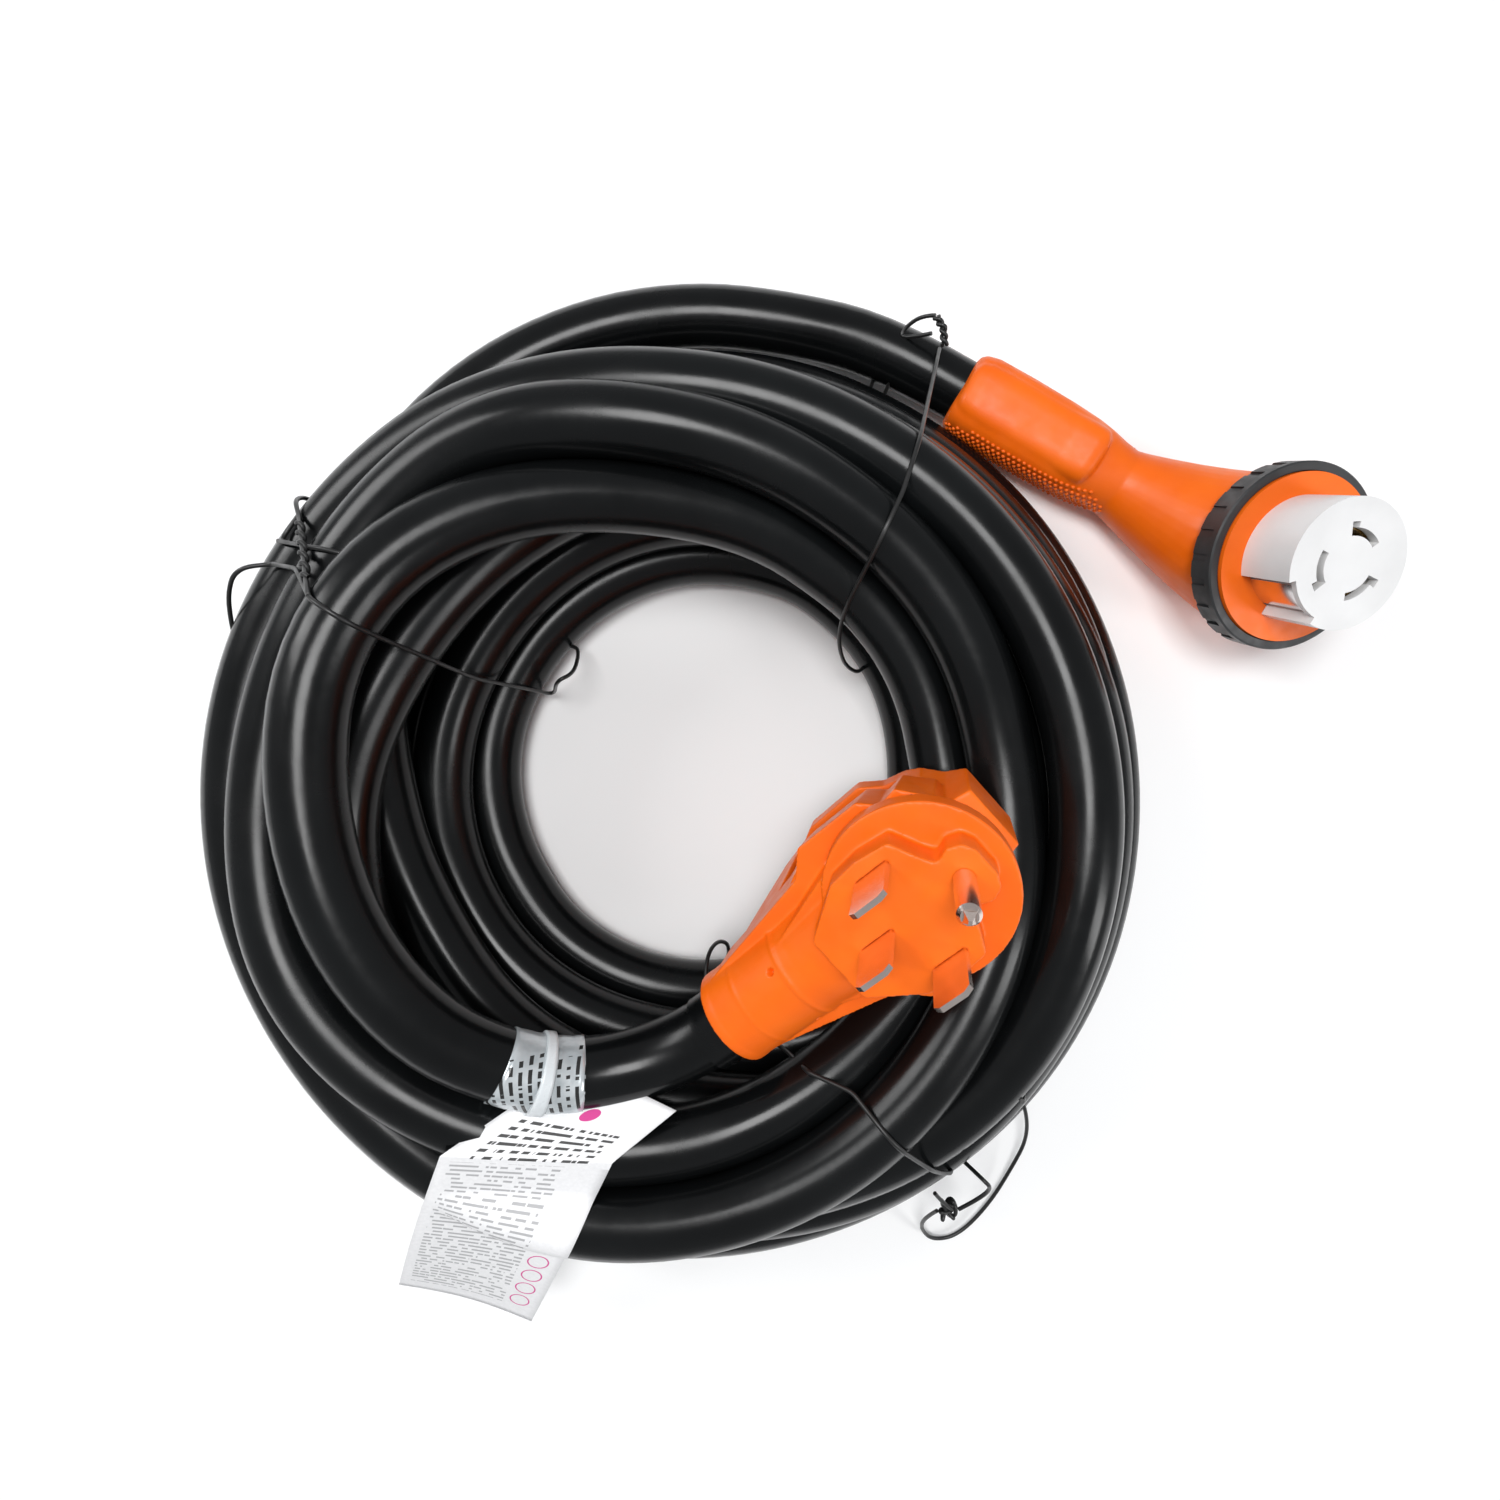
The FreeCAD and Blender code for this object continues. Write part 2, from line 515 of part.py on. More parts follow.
def build_contacts(notch, slots):
    """Spring contacts behind the slots, each two curved leaves on a bridge with a tail."""
    names = ("connector_contact_line_1", "connector_contact_neutral", "connector_contact_line_2")
    front, face, seat = num("dim.insert_front"), num("dim.insert_face"), num("dim.insert_seat")
    thick, gap, arc = num("dim.contact_thick"), num("dim.contact_gap"), num("dim.slot_arc") - 10
    middle = (num("dim.slot_inner") + num("dim.slot_outer")) / 2
    low, high = seat + 1.5, front - face - 1.5
    tails = []
    for name, turn in zip(names, slots):
        inside = arc_strip(middle - gap / 2 - thick, middle - gap / 2, low, high, turn, arc)
        outside = arc_strip(middle + gap / 2, middle + gap / 2 + thick, low, high, turn, arc)
        bridge = arc_strip(middle - gap / 2 - thick, middle + gap / 2 + thick, low - thick, low, turn, arc)
        tail = Rotation(Vector(0, 0, 1), turn).multVec(Vector(middle, 0, 0))
        post = Part.makeCylinder(2.2, low - thick - 15, Vector(tail.x, tail.y, 15))
        keep_shape(inside.fuse([outside, bridge, post]), name, HEAD)
        tails.append((tail, 2.2))
    radius = num("dim.insert_dia") / 2 - num("dim.notch_deep")
    span = math.degrees(num("dim.strip_wide") / radius)
    outer = radius + num("dim.strip_thick")
    strip = arc_strip(radius, outer, num("dim.collar_front"), front - 2.6, notch, span)
    foot = arc_strip(radius - 8, outer, 15, seat, notch, span)
    stem = arc_strip(radius, outer, seat, num("dim.collar_front"), notch, span)
    keep_shape(strip.fuse([stem, foot]).removeSplitter(), "connector_ground_contact", HEAD)
    base = Part.makeCylinder(num("dim.collar_bore") / 2 - 0.2, 10, Vector(0, 0, 18))
    cuts = [Part.makeCylinder(r, 20, Vector(tail.x, tail.y, 14)) for tail, r in tails]
    cuts.append(arc_strip(radius - 8, outer, 15, 40, notch, span))
    keep_shape(base.cut(cuts), "connector_terminal_block", HEAD)
    return [tail for tail, _ in tails], Rotation(Vector(0, 0, 1), notch).multVec(Vector(radius - 7, 0, 0))


def build_connector_wiring(tails, ground):
    """Four cores from the terminals, down through the elbow and along the handle."""
    gap, end = num("dim.wire_gap"), num("dim.grip_bore_end")
    line_1, neutral, line_2 = tails
    lanes = (("green", ground, gap, -gap), ("black", line_1, gap, gap), ("red", line_2, -gap, gap),
             ("white", neutral, -gap, -gap))
    for colour, tail, aside, up in lanes:
        route = [Vector(tail.x, tail.y, 15), Vector(tail.x, tail.y, 7),
                 along_grip(18 + up, aside, up), along_grip(end, aside, up)]
        name = "connector_wire_" + colour
        keep_shape(tube(route, num("dim.wire_dia"), name), name, HEAD)
    jacket = Part.makeCylinder(num("dim.cable_dia") / 2, num("dim.grip_long") - end,
                               along_grip(end), GRIP_LOCAL)
    keep_shape(jacket, "connector_cable_end", HEAD)


def build_ring():
    """The locking ring, which spins behind the collar's disc, and its slip washer."""
    back, lip = "dim.ring_front - dim.ring_wide", "dim.ring_front - dim.ring_wide + dim.ring_lip"
    outer = "dim.ring_dia / 2"
    body = turned("locking_ring", [
        ("dim.ring_lip_bore / 2", back), (outer + " - 0.8", back), (outer, back + " + 0.8"),
        (outer, "dim.ring_front - 0.6"), (outer + " - 0.6", "dim.ring_front"),
        ("dim.ring_bore / 2", "dim.ring_front"), ("dim.ring_bore / 2", lip), ("dim.ring_lip_bore / 2", lip)])
    sketch = new_sketch(body, "knurl_outline", "XY_Plane", back)
    groove_floor, half = outer + " - dim.knurl_deep", "dim.knurl_wide / 2"
    outline(sketch, [(groove_floor, "-" + half), (outer + " + 2", "-" + half), (outer + " + 2", half),
                     (groove_floor, half)])
    groove = body.newObject("PartDesign::Pocket", "knurl")
    groove.Profile = sketch
    groove.Reversed = True
    groove.setExpression("Length", "dim.ring_wide - 3.5")
    pattern = body.newObject("PartDesign::PolarPattern", "knurl_pattern")
    pattern.Originals = [groove]
    pattern.Axis = (sketch, ["N_Axis"])
    pattern.Angle = 360
    pattern.setExpression("Occurrences", "dim.knurls")
    body.Tip = pattern
    keep(body, "locking_ring", HEAD)
    low = lip + " + dim.washer_gap"
    keep(turned("ring_washer", [
        ("dim.ring_lip_bore / 2", low), ("dim.washer_dia / 2", low),
        ("dim.washer_dia / 2", low + " + dim.washer_thick"),
        ("dim.ring_lip_bore / 2", low + " + dim.washer_thick")]), "ring_washer", HEAD)


# ---------------------------------------------------------------- things on the cable

def build_cable_trim(top_turn):
    """Sleeve at the plug, rating label and its tie, on the first stretch of the top turn."""
    path, _ = path_along(top_turn)
    radius = num("dim.cable_dia") / 2
    sleeve = band(path, 0, num("dim.sleeve_long"), radius, radius + num("dim.sleeve_wall"))
    keep_shape(sleeve, "plug_cable_sleeve")
    label_from, label_end = num("dim.label_from"), num("dim.label_from + dim.label_wide")
    label = band(path, label_from, label_end, radius, radius + num("dim.label_thick"))
    keep_shape(label, "rating_label")
    tie_from = (label_from + label_end) / 2
    inner = radius + num("dim.label_thick")
    strap = band(path, tie_from, tie_from + num("dim.tie_wide"), inner, inner + num("dim.tie_thick"))
    keep_shape(strap, "label_tie")


def build_tag():
    """A folded paper tag that lies over the coil's shoulder and hangs towards the floor."""
    bends = [(-52, -110, 97), (-75, -124, 96.5), (-88, -146, 96.5), (-112, -201.5, 43)]
    lean = [-3, -3, -9, -15]
    thick, wide = num("dim.tag_thick"), num("dim.tag_wide")
    rows = []
    for (x, y, height), slope in zip(bends, lean):
        left = spot(x, y, height)
        across = Vector(wide, slope, 0).normalize() * wide
        lift = Vector(0, 0, thick)
        rows.append(Part.makePolygon([left, left + across, left + across + lift, left + lift, left]))
    keep_shape(Part.makeLoft(rows, True, True), "paper_tag")


def build_twist_ties():
    """Wires bent over the coil from the hole outwards: (distance from the hole's axis, height)."""
    dia = num("dim.twist_wire")
    hole = spot(num("dim.hole_x"), num("dim.hole_y"), 0)
    over_top_turn = [(82, 14), (83, 34), (106, 84), (119, 124), (144, 125), (168, 100), (206, 52),
                     (210, 16)]
    over_coil = [(82, 14), (83, 34), (104, 78), (118, 99), (150, 98), (176, 80), (186, 44), (188, 16)]
    under_plug = [(82, 14), (83, 34), (92, 52), (112, 60), (134, 80), (152, 98), (176, 82), (187, 44),
                  (190, 16)]
    ties = (("twist_tie_left", 158, over_top_turn, 1.0), ("twist_tie_right", 52, over_coil, 0.96),
            ("twist_tie_bottom", -76, under_plug, 1.09))
    for label, degrees, bends, stretch in ties:
        away = Rotation(Vector(0, 0, 1), degrees).multVec(Vector(1, 0, 0))
        route = [hole + away * (out * stretch if out > 130 else out) + Vector(0, 0, height)
                 for out, height in bends]
        keep_shape(tube(route, dia, label), label)


# ---------------------------------------------------------------- build, check and write

route_top, route_free = build_cable()
build_coil(route_top)
build_plug()
build_housing()
notch_at = num("dim.notch_turn")
build_collar(notch_at)
slot_turns = [num("dim.slot_turn") + step for step in (0, 120, 240)]
build_insert(notch_at, slot_turns)
wire_tails, ground_tail = build_contacts(notch_at, slot_turns)
build_connector_wiring(wire_tails, ground_tail)
build_ring()
build_cable_trim(route_top)
build_tag()
build_twist_ties()
doc.recompute()

failed = [obj.Name for obj in doc.Objects if "Invalid" in obj.State or "Error" in obj.State]
if failed:
    raise SystemExit(f"failed objects: {failed}")
for part in SUB_PARTS:
    if part.Shape.isNull() or not part.Shape.isValid():
        raise SystemExit(f"{part.Label}: its shape is empty or not valid")

os.makedirs("parts", exist_ok=True)
for part in SUB_PARTS:
    part.Shape.exportStep(os.path.join("parts", part.Label + ".step"))
box = FreeCAD.BoundBox()
for part in SUB_PARTS:
    box.add(part.Shape.BoundBox)
print(len(SUB_PARTS), "sub-parts in", box)
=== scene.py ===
import math

import bmesh
import bpy
import numpy as np
from mathutils import Matrix, Vector
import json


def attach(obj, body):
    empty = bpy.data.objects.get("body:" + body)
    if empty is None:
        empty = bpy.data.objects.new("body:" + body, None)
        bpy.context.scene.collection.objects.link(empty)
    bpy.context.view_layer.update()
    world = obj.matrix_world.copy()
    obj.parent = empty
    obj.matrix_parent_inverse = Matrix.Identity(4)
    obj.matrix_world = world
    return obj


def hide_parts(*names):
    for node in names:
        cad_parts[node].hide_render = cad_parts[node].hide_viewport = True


# A coiled 50 A shore power cord. The cable is wound here turn by turn. The plug's body is a softened
# copy of its CAD node with more detail, and the connector's handle is one skin over rings of points.
# Every surface has its own procedural material.

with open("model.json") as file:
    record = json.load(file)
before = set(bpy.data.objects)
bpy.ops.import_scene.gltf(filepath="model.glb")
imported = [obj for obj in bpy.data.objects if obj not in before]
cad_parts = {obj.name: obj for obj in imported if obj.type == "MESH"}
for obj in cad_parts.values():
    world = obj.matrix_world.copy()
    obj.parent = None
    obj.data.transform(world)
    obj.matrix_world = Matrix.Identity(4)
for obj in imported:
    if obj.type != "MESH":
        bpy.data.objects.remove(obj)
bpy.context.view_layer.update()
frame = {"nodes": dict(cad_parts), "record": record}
NODES = frame["nodes"]
scene = bpy.context.scene

# ---------------------------------------------------------------- places and sizes, in metres

COIL_AT = Vector((-0.0535, 0.0105, 0.0))
CABLE_DIA = 0.026
CABLE_R = CABLE_DIA / 2
NECK_REACH, NECK_AXIS = 0.084, 0.026
GRIP_LONG = 0.141
TAG_FLAT = (0.060, 0.152)
WIRE_DIA = 0.0017
TIE_LIFT = WIRE_DIA / 2 + 0.0009  # from what a tie rests on to the wire's middle
PIP_SIZE = 0.0009
FLOOR_HALF, FLOOR_DROP = 6.0, 0.0005
VIEW_HEIGHT = 0.389


def spot(x, y, z):
    """A place given from the coil's axis."""
    return COIL_AT + Vector((x, y, z))


def frame_at(origin, x_axis, z_axis):
    """A matrix with local Z along z_axis and local X as near x_axis as that allows."""
    z_dir = Vector(z_axis).normalized()
    x_dir = Vector(x_axis)
    x_dir = (x_dir - z_dir * x_dir.dot(z_dir)).normalized()
    y_dir = z_dir.cross(x_dir)
    turn = Matrix((x_dir, y_dir, z_dir)).transposed().to_4x4()
    return Matrix.Translation(origin) @ turn


PLUG = frame_at(spot(0.0824, -0.0314, 0.134), (0.717, 0.625, 0.309), (-0.19, -0.251, 0.949))
GRIP_AXIS = Vector((-0.862, 0.507, 0.0)).normalized()
HEAD = frame_at(spot(0.2474, 0.1084, 0.0188), GRIP_AXIS, (0.173, -0.308, 0.936))


def in_plug(x, y, z):
    return PLUG @ Vector((x, y, z))


# ---------------------------------------------------------------- camera, floor and light

def add_camera():
    data = bpy.data.cameras.new("camera")
    data.lens, data.sensor_width = 20.0, 36.0
    data.clip_start, data.clip_end = 0.01, 50
    camera = bpy.data.objects.new("camera", data)
    camera.location = (-0.0205, 0.0305, VIEW_HEIGHT)
    scene.collection.objects.link(camera)
    scene.camera = camera


def add_area(name, place, aim, size, power, stretch=1.0):
    data = bpy.data.lights.new(name, "AREA")
    data.shape, data.size, data.size_y = "RECTANGLE", size, size * stretch
    data.energy = power
    light = bpy.data.objects.new(name, data)
    light.location = place
    light.rotation_euler = (Vector(aim) - Vector(place)).to_track_quat("-Z", "Y").to_euler()
    scene.collection.objects.link(light)


def add_stage():
    mesh = bpy.data.meshes.new("floor")
    corners = [(x * FLOOR_HALF, y * FLOOR_HALF, 0) for x, y in ((-1, -1), (1, -1), (1, 1), (-1, 1))]
    mesh.from_pydata(corners, [], [(0, 1, 2, 3)])
    floor = bpy.data.objects.new("floor", mesh)
    floor.location.z = -FLOOR_DROP
    scene.collection.objects.link(floor)
    floor.data.materials.append(floor_material())
    world = bpy.data.worlds.new("studio")
    scene.world = world
    world.use_nodes = True
    background = world.node_tree.nodes["Background"]
    background.inputs["Color"].default_value = (0.95, 0.97, 1.0, 1)
    background.inputs["Strength"].default_value = 0.38
    add_area("overhead", (-0.1, 0.15, 1.2), (0, 0, 0), 0.42, 9)
    add_area("left_box", (-1.1, 0.6, 0.9), (0, 0, 0.05), 0.32, 8, 2.4)
    add_area("right_box", (1.1, -0.5, 0.9), (0, 0, 0.05), 0.3, 6, 2.4)


# ---------------------------------------------------------------- materials

def new_material(name):
    material = bpy.data.materials.new(name)
    material.use_nodes = True
    return material, material.node_tree.nodes, material.node_tree.links


def shader_of(nodes):
    return nodes["Principled BSDF"]


def set_sockets(shader, **values):
    for name, value in values.items():
        shader.inputs[name.replace("_", " ")].default_value = value


def noise(nodes, links, scale, detail=3.0, stretch=(1, 1, 1), rough=0.5):
    """Noise in the object's own coordinates, stretched along chosen axes."""
    place = nodes.new("ShaderNodeTexCoord")
    mapping = nodes.new("ShaderNodeMapping")
    mapping.inputs["Scale"].default_value = stretch
    links.new(place.outputs["Object"], mapping.inputs["Vector"])
    texture = nodes.new("ShaderNodeTexNoise")
    texture.inputs["Scale"].default_value = scale
    texture.inputs["Detail"].default_value = detail
    texture.inputs["Roughness"].default_value = rough
    links.new(mapping.outputs["Vector"], texture.inputs["Vector"])
    return texture.outputs["Fac"]


def ramp(nodes, links, source, low, high, low_value, high_value):
    """Colours or greys spread between two levels of a source."""
    node = nodes.new("ShaderNodeValToRGB")
    node.color_ramp.elements[0].position, node.color_ramp.elements[1].position = low, high
    for element, value in zip(node.color_ramp.elements, (low_value, high_value)):
        element.color = (*value, 1) if hasattr(value, "__len__") else (value, value, value, 1)
    links.new(source, node.inputs["Fac"])
    return node.outputs["Color"]


def bump(nodes, links, shader, source, strength, distance):
    node = nodes.new("ShaderNodeBump")
    node.inputs["Strength"].default_value = strength
    node.inputs["Distance"].default_value = distance
    links.new(source, node.inputs["Height"])
    links.new(node.outputs["Normal"], shader.inputs["Normal"])


def moulded(name, dark, light, rough_low, rough_high, grain=2600.0, spec=0.5):
    """Moulded plastic: faint clouds of colour, uneven gloss and a fine grain."""
    material, nodes, links = new_material(name)
    shader = shader_of(nodes)
    clouds = noise(nodes, links, 45.0, 4.0)
    links.new(ramp(nodes, links, clouds, 0.3, 0.7, dark, light), shader.inputs["Base Color"])
    smears = noise(nodes, links, 160.0, 3.0)
    links.new(ramp(nodes, links, smears, 0.35, 0.7, rough_low, rough_high),
              shader.inputs["Roughness"])
    bump(nodes, links, shader, noise(nodes, links, grain, 2.0), 0.35, 0.00004)
    set_sockets(shader, Specular_IOR_Level=spec)
    return material


def metal(name, dark, light, rough_low, rough_high):
    """Bare metal: faint stains and fine scratches along one way."""
    material, nodes, links = new_material(name)
    shader = shader_of(nodes)
    set_sockets(shader, Metallic=1.0)
    stains = noise(nodes, links, 90.0, 4.0)
    links.new(ramp(nodes, links, stains, 0.3, 0.7, dark, light), shader.inputs["Base Color"])
    scratches = noise(nodes, links, 500.0, 5.0, (1, 1, 12))
    links.new(ramp(nodes, links, scratches, 0.3, 0.75, rough_low, rough_high),
              shader.inputs["Roughness"])
    bump(nodes, links, shader, scratches, 0.12, 0.00003)
    return material


def jacket_material():
    """Satin black vinyl: dusty haze, rubbed glossy patches and a faintly uneven skin."""
    material, nodes, links = new_material("cable_jacket")
    shader = shader_of(nodes)
    haze = noise(nodes, links, 9.0, 6.0, rough=0.62)
    black = ramp(nodes, links, haze, 0.35, 0.75, (0.002, 0.0022, 0.0024), (0.0055, 0.0064, 0.0068))
    links.new(black, shader.inputs["Base Color"])
    rubbed = noise(nodes, links, 26.0, 5.0, rough=0.6)
    links.new(ramp(nodes, links, rubbed, 0.3, 0.75, 0.17, 0.32), shader.inputs["Roughness"])
    bump(nodes, links, shader, noise(nodes, links, 320.0, 4.0, rough=0.6), 0.16, 0.00012)
    set_sockets(shader, Specular_IOR_Level=0.26)
    return material


def floor_material():
    material, nodes, links = new_material("studio_floor")
    shader = shader_of(nodes)
    clouds = noise(nodes, links, 3.0, 2.0)
    links.new(ramp(nodes, links, clouds, 0.3, 0.7, 0.93, 0.95), shader.inputs["Base Color"])
    set_sockets(shader, Roughness=0.8, Specular_IOR_Level=0.1)
    return material


def calculator(nodes, links):
    """A function that adds one math node to a material and gives its output."""
    def calc(operation, first, second=0.0):
        node = nodes.new("ShaderNodeMath")
        node.operation = operation
        for socket, value in zip(node.inputs, (first, second)):
            if isinstance(value, (int, float)):
                socket.default_value = value
            else:
                links.new(value, socket)
        return node.outputs["Value"]
    return calc


def between(calc, value, low, high):
    """1 where the value lies between two limits."""
    return calc("MULTIPLY", calc("GREATER_THAN", value, low), calc("LESS_THAN", value, high))


def bar_mask(nodes, links, across, along, rows, words, limits):
    """Broken bars in rows: 1 on a bar. across and along are sockets, limits the bars' ends."""
    calc = calculator(nodes, links)
    scaled = calc("MULTIPLY", along, rows)
    row = calc("FLOOR", scaled)
    spread = nodes.new("ShaderNodeCombineXYZ")
    links.new(calc("MULTIPLY", across, words), spread.inputs["X"])
    links.new(calc("MULTIPLY", row, 7.3), spread.inputs["Y"])
    texture = nodes.new("ShaderNodeTexNoise")
    texture.inputs["Scale"].default_value = 1.0
    texture.inputs["Detail"].default_value = 1.0
    links.new(spread.outputs["Vector"], texture.inputs["Vector"])
    bars = calc("LESS_THAN", calc("FRACT", scaled), 0.42)
    breaks = calc("GREATER_THAN", texture.outputs["Fac"], 0.46)
    return calc("MULTIPLY", calc("MULTIPLY", bars, breaks), between(calc, across, *limits))


def mixed(nodes, links, mask, under, over):
    """One colour over another where the mask is 1."""
    node = nodes.new("ShaderNodeMix")
    node.data_type = "RGBA"
    links.new(mask, node.inputs["Factor"])
    for name, value in (("A", under), ("B", over)):
        socket = next(entry for entry in node.inputs if entry.name == name and entry.type == "RGBA")
        if isinstance(value, tuple):
            socket.default_value = (*value, 1)
        else:
            links.new(value, socket)
    return next(entry for entry in node.outputs if entry.type == "RGBA")


def near_spot(calc, across, along, place, inner, outer):
    """1 between two distances, in metres, from a place on the tag."""
    x = calc("MULTIPLY", calc("SUBTRACT", across, place[0]), TAG_FLAT[0])
    y = calc("MULTIPLY", calc("SUBTRACT", along, place[1]), TAG_FLAT[1])
    distance = calc("SQRT", calc("ADD", calc("MULTIPLY", x, x), calc("MULTIPLY", y, y)))
    return between(calc, distance, inner, outer)


def tag_material():
    """White paper with rows of grey bars, a pink disc and four plain pink rings."""
    material, nodes, links = new_material("tag_print")
    shader = shader_of(nodes)
    coords = nodes.new("ShaderNodeTexCoord")
    split = nodes.new("ShaderNodeSeparateXYZ")
    links.new(coords.outputs["UV"], split.inputs["Vector"])
    across, along = split.outputs["X"], split.outputs["Y"]
    calc = calculator(nodes, links)
    fibres = noise(nodes, links, 700.0, 3.0)
    colour = ramp(nodes, links, fibres, 0.3, 0.7, (0.78, 0.78, 0.79), (0.84, 0.84, 0.85))
    for rows, words, limits, start, end, ink in (
            (42.0, 26.0, (0.16, 0.86), 0.16, 0.30, (0.06, 0.06, 0.06)),
            (56.0, 20.0, (0.07, 0.74), 0.31, 0.95, (0.42, 0.42, 0.43))):
        bars = bar_mask(nodes, links, across, along, rows, words, limits)
        bars = calc("MULTIPLY", bars, between(calc, along, start, end))
        colour = mixed(nodes, links, bars, colour, ink)
    disc = ((0.52, 0.115), -1.0, 0.0036)
    rings = [((0.85, height), 0.0038, 0.0044) for height in (0.70, 0.77, 0.84, 0.91)]
    for place, inner, outer in (disc, *rings):
        mask = near_spot(calc, across, along, place, inner, outer)
        colour = mixed(nodes, links, mask, colour, (0.62, 0.05, 0.27))
    links.new(colour, shader.inputs["Base Color"])
    set_sockets(shader, Roughness=0.6, Specular_IOR_Level=0.3)
    return material


def label_material():
    """Silver film, a little crumpled, with dark bars that run round the cable."""
    material, nodes, links = new_material("label_print")
    shader = shader_of(nodes)
    coords = nodes.new("ShaderNodeTexCoord")
    split = nodes.new("ShaderNodeSeparateXYZ")
    links.new(coords.outputs["Object"], split.inputs["Vector"])
    bars = bar_mask(nodes, links, split.outputs["Y"], split.outputs["X"], 330.0, 420.0,
                    (-0.098, -0.076))
    clouds = noise(nodes, links, 120.0, 3.0)
    film = ramp(nodes, links, clouds, 0.3, 0.7, (0.42, 0.46, 0.48), (0.62, 0.66, 0.68))
    links.new(mixed(nodes, links, bars, film, (0.03, 0.03, 0.03)), shader.inputs["Base Color"])
    bump(nodes, links, shader, noise(nodes, links, 95.0, 3.0, rough=0.6), 0.5, 0.0012)
    set_sockets(shader, Roughness=0.24, Metallic=0.35)
    return material


# Dark and light colour, low and high roughness of each plain plastic.
PLASTICS = {
    "washer_rubber": ((0.01, 0.01, 0.01), (0.02, 0.02, 0.02), 0.6, 0.8),
    "white_nylon": ((0.68, 0.68, 0.68), (0.75, 0.75, 0.75), 0.3, 0.45),
    "core_phenolic": ((0.04, 0.03, 0.025), (0.08, 0.06, 0.05), 0.5, 0.7),
    "core_black": ((0.01, 0.01, 0.01), (0.02, 0.02, 0.02), 0.3, 0.45),
    "core_red": ((0.45, 0.01, 0.01), (0.6, 0.02, 0.02), 0.3, 0.45),
    "core_white": ((0.75, 0.75, 0.72), (0.85, 0.85, 0.82), 0.3, 0.45),
    "core_green": ((0.01, 0.2, 0.04), (0.02, 0.3, 0.06), 0.3, 0.45),
    "tie_nylon": ((0.6, 0.64, 0.66), (0.72, 0.75, 0.77), 0.25, 0.35),
    "twist_wire": ((0.008, 0.008, 0.008), (0.018, 0.018, 0.018), 0.32, 0.45),
}
METALS = {
    "blade_nickel": ((0.78, 0.66, 0.6), (0.9, 0.8, 0.74), 0.12, 0.26),
    "ground_strip": ((0.7, 0.71, 0.72), (0.85, 0.85, 0.86), 0.1, 0.22),
    "contact_brass": ((0.72, 0.5, 0.2), (0.85, 0.62, 0.3), 0.2, 0.35),
}


def paint_nodes():
    """Make every finish, and give each CAD node its own."""
    finishes = {
        "orange_vinyl": moulded("orange_vinyl", (0.82, 0.122, 0.003), (0.88, 0.148, 0.004),
                                0.36, 0.5, spec=0.35),
        "ring_nylon": moulded("ring_nylon", (0.018, 0.019, 0.02), (0.035, 0.036, 0.038),
                              0.4, 0.62, grain=1800.0),
        "cable_jacket": jacket_material(),
        "label_foil": label_material(),
        "tag_paper": tag_material(),
    }
    finishes.update({name: moulded(name, *values) for name, values in PLASTICS.items()})
    finishes.update({name: metal(name, *values) for name, values in METALS.items()})
    for sub_part in frame["record"]["subparts"]:
        node = NODES[sub_part["node"]]
        node.data.materials.clear()
        node.data.materials.append(finishes[sub_part["material_slot"]])
    return finishes


def keep_piece(piece, body, slot, *nodes):
    """Every new piece rides on a body and stands for the CAD nodes that it hides. The slot is not
    used.
    """
    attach(piece, body)
    if nodes:
        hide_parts(*nodes)
    return piece


# ---------------------------------------------------------------- the cable

# The cable from the connector's handle to the floor, and from the coil up to the plug.
FREE_ARC = [HEAD @ (HEAD.inverted().to_3x3() @ GRIP_AXIS * GRIP_LONG),
            HEAD @ (HEAD.inverted().to_3x3() @ GRIP_AXIS * (GRIP_LONG + 0.038)),
            spot(0.051, 0.212, 0.0135), spot(0.008, 0.217, 0.013), spot(-0.038, 0.210, 0.013),
            spot(-0.082, 0.190, 0.013), spot(-0.118, 0.159, 0.013), spot(-0.146, 0.116, 0.013)]
TOP_TURN = [in_plug(-NECK_REACH, 0, -NECK_AXIS), in_plug(-NECK_REACH - 0.013, 0, -NECK_AXIS),
            spot(-0.004, -0.096, 0.078), spot(-0.028, -0.100, 0.082), spot(-0.052, -0.095, 0.091),
            spot(-0.081, -0.077, 0.101), spot(-0.105, -0.042, 0.108), spot(-0.117, 0.003, 0.110),
            spot(-0.114, 0.050, 0.109), spot(-0.092, 0.087, 0.103), spot(-0.054, 0.109, 0.094),
            spot(-0.008, 0.114, 0.083), spot(0.038, 0.107, 0.072), spot(0.072, 0.086, 0.063)]

# How far from the axis, and how high, each turn passes the coil's left, bottom, right and top.
PASSES = [
    ((0.188, 0.013), (0.195, 0.013), (0.195, 0.013), (0.189, 0.013)),
    ((0.162, 0.013), (0.169, 0.013), (0.169, 0.013), (0.163, 0.013)),
    ((0.136, 0.013), (0.142, 0.013), (0.142, 0.013), (0.136, 0.013)),
    ((0.110, 0.013), (0.114, 0.013), (0.114, 0.013), (0.112, 0.013)),
    ((0.084, 0.013), (0.087, 0.013), (0.128, 0.035), (0.124, 0.036)),
    ((0.095, 0.036), (0.102, 0.036), (0.156, 0.036), (0.150, 0.036)),
    ((0.123, 0.036), (0.138, 0.038), (0.181, 0.036), (0.174, 0.037)),
    ((0.156, 0.037), (0.170, 0.038), (0.169, 0.058), (0.158, 0.058)),
    ((0.105, 0.060), (0.112, 0.050), (0.142, 0.058), (0.136, 0.058)),
    ((0.105, 0.084), (0.150, 0.055), (0.156, 0.080), (0.170, 0.060)),
    ((0.172, 0.060), (0.152, 0.076), (0.130, 0.080), (0.152, 0.080)),
    ((0.140, 0.086), (0.130, 0.064), (0.118, 0.056), (0.114, 0.076)),
]
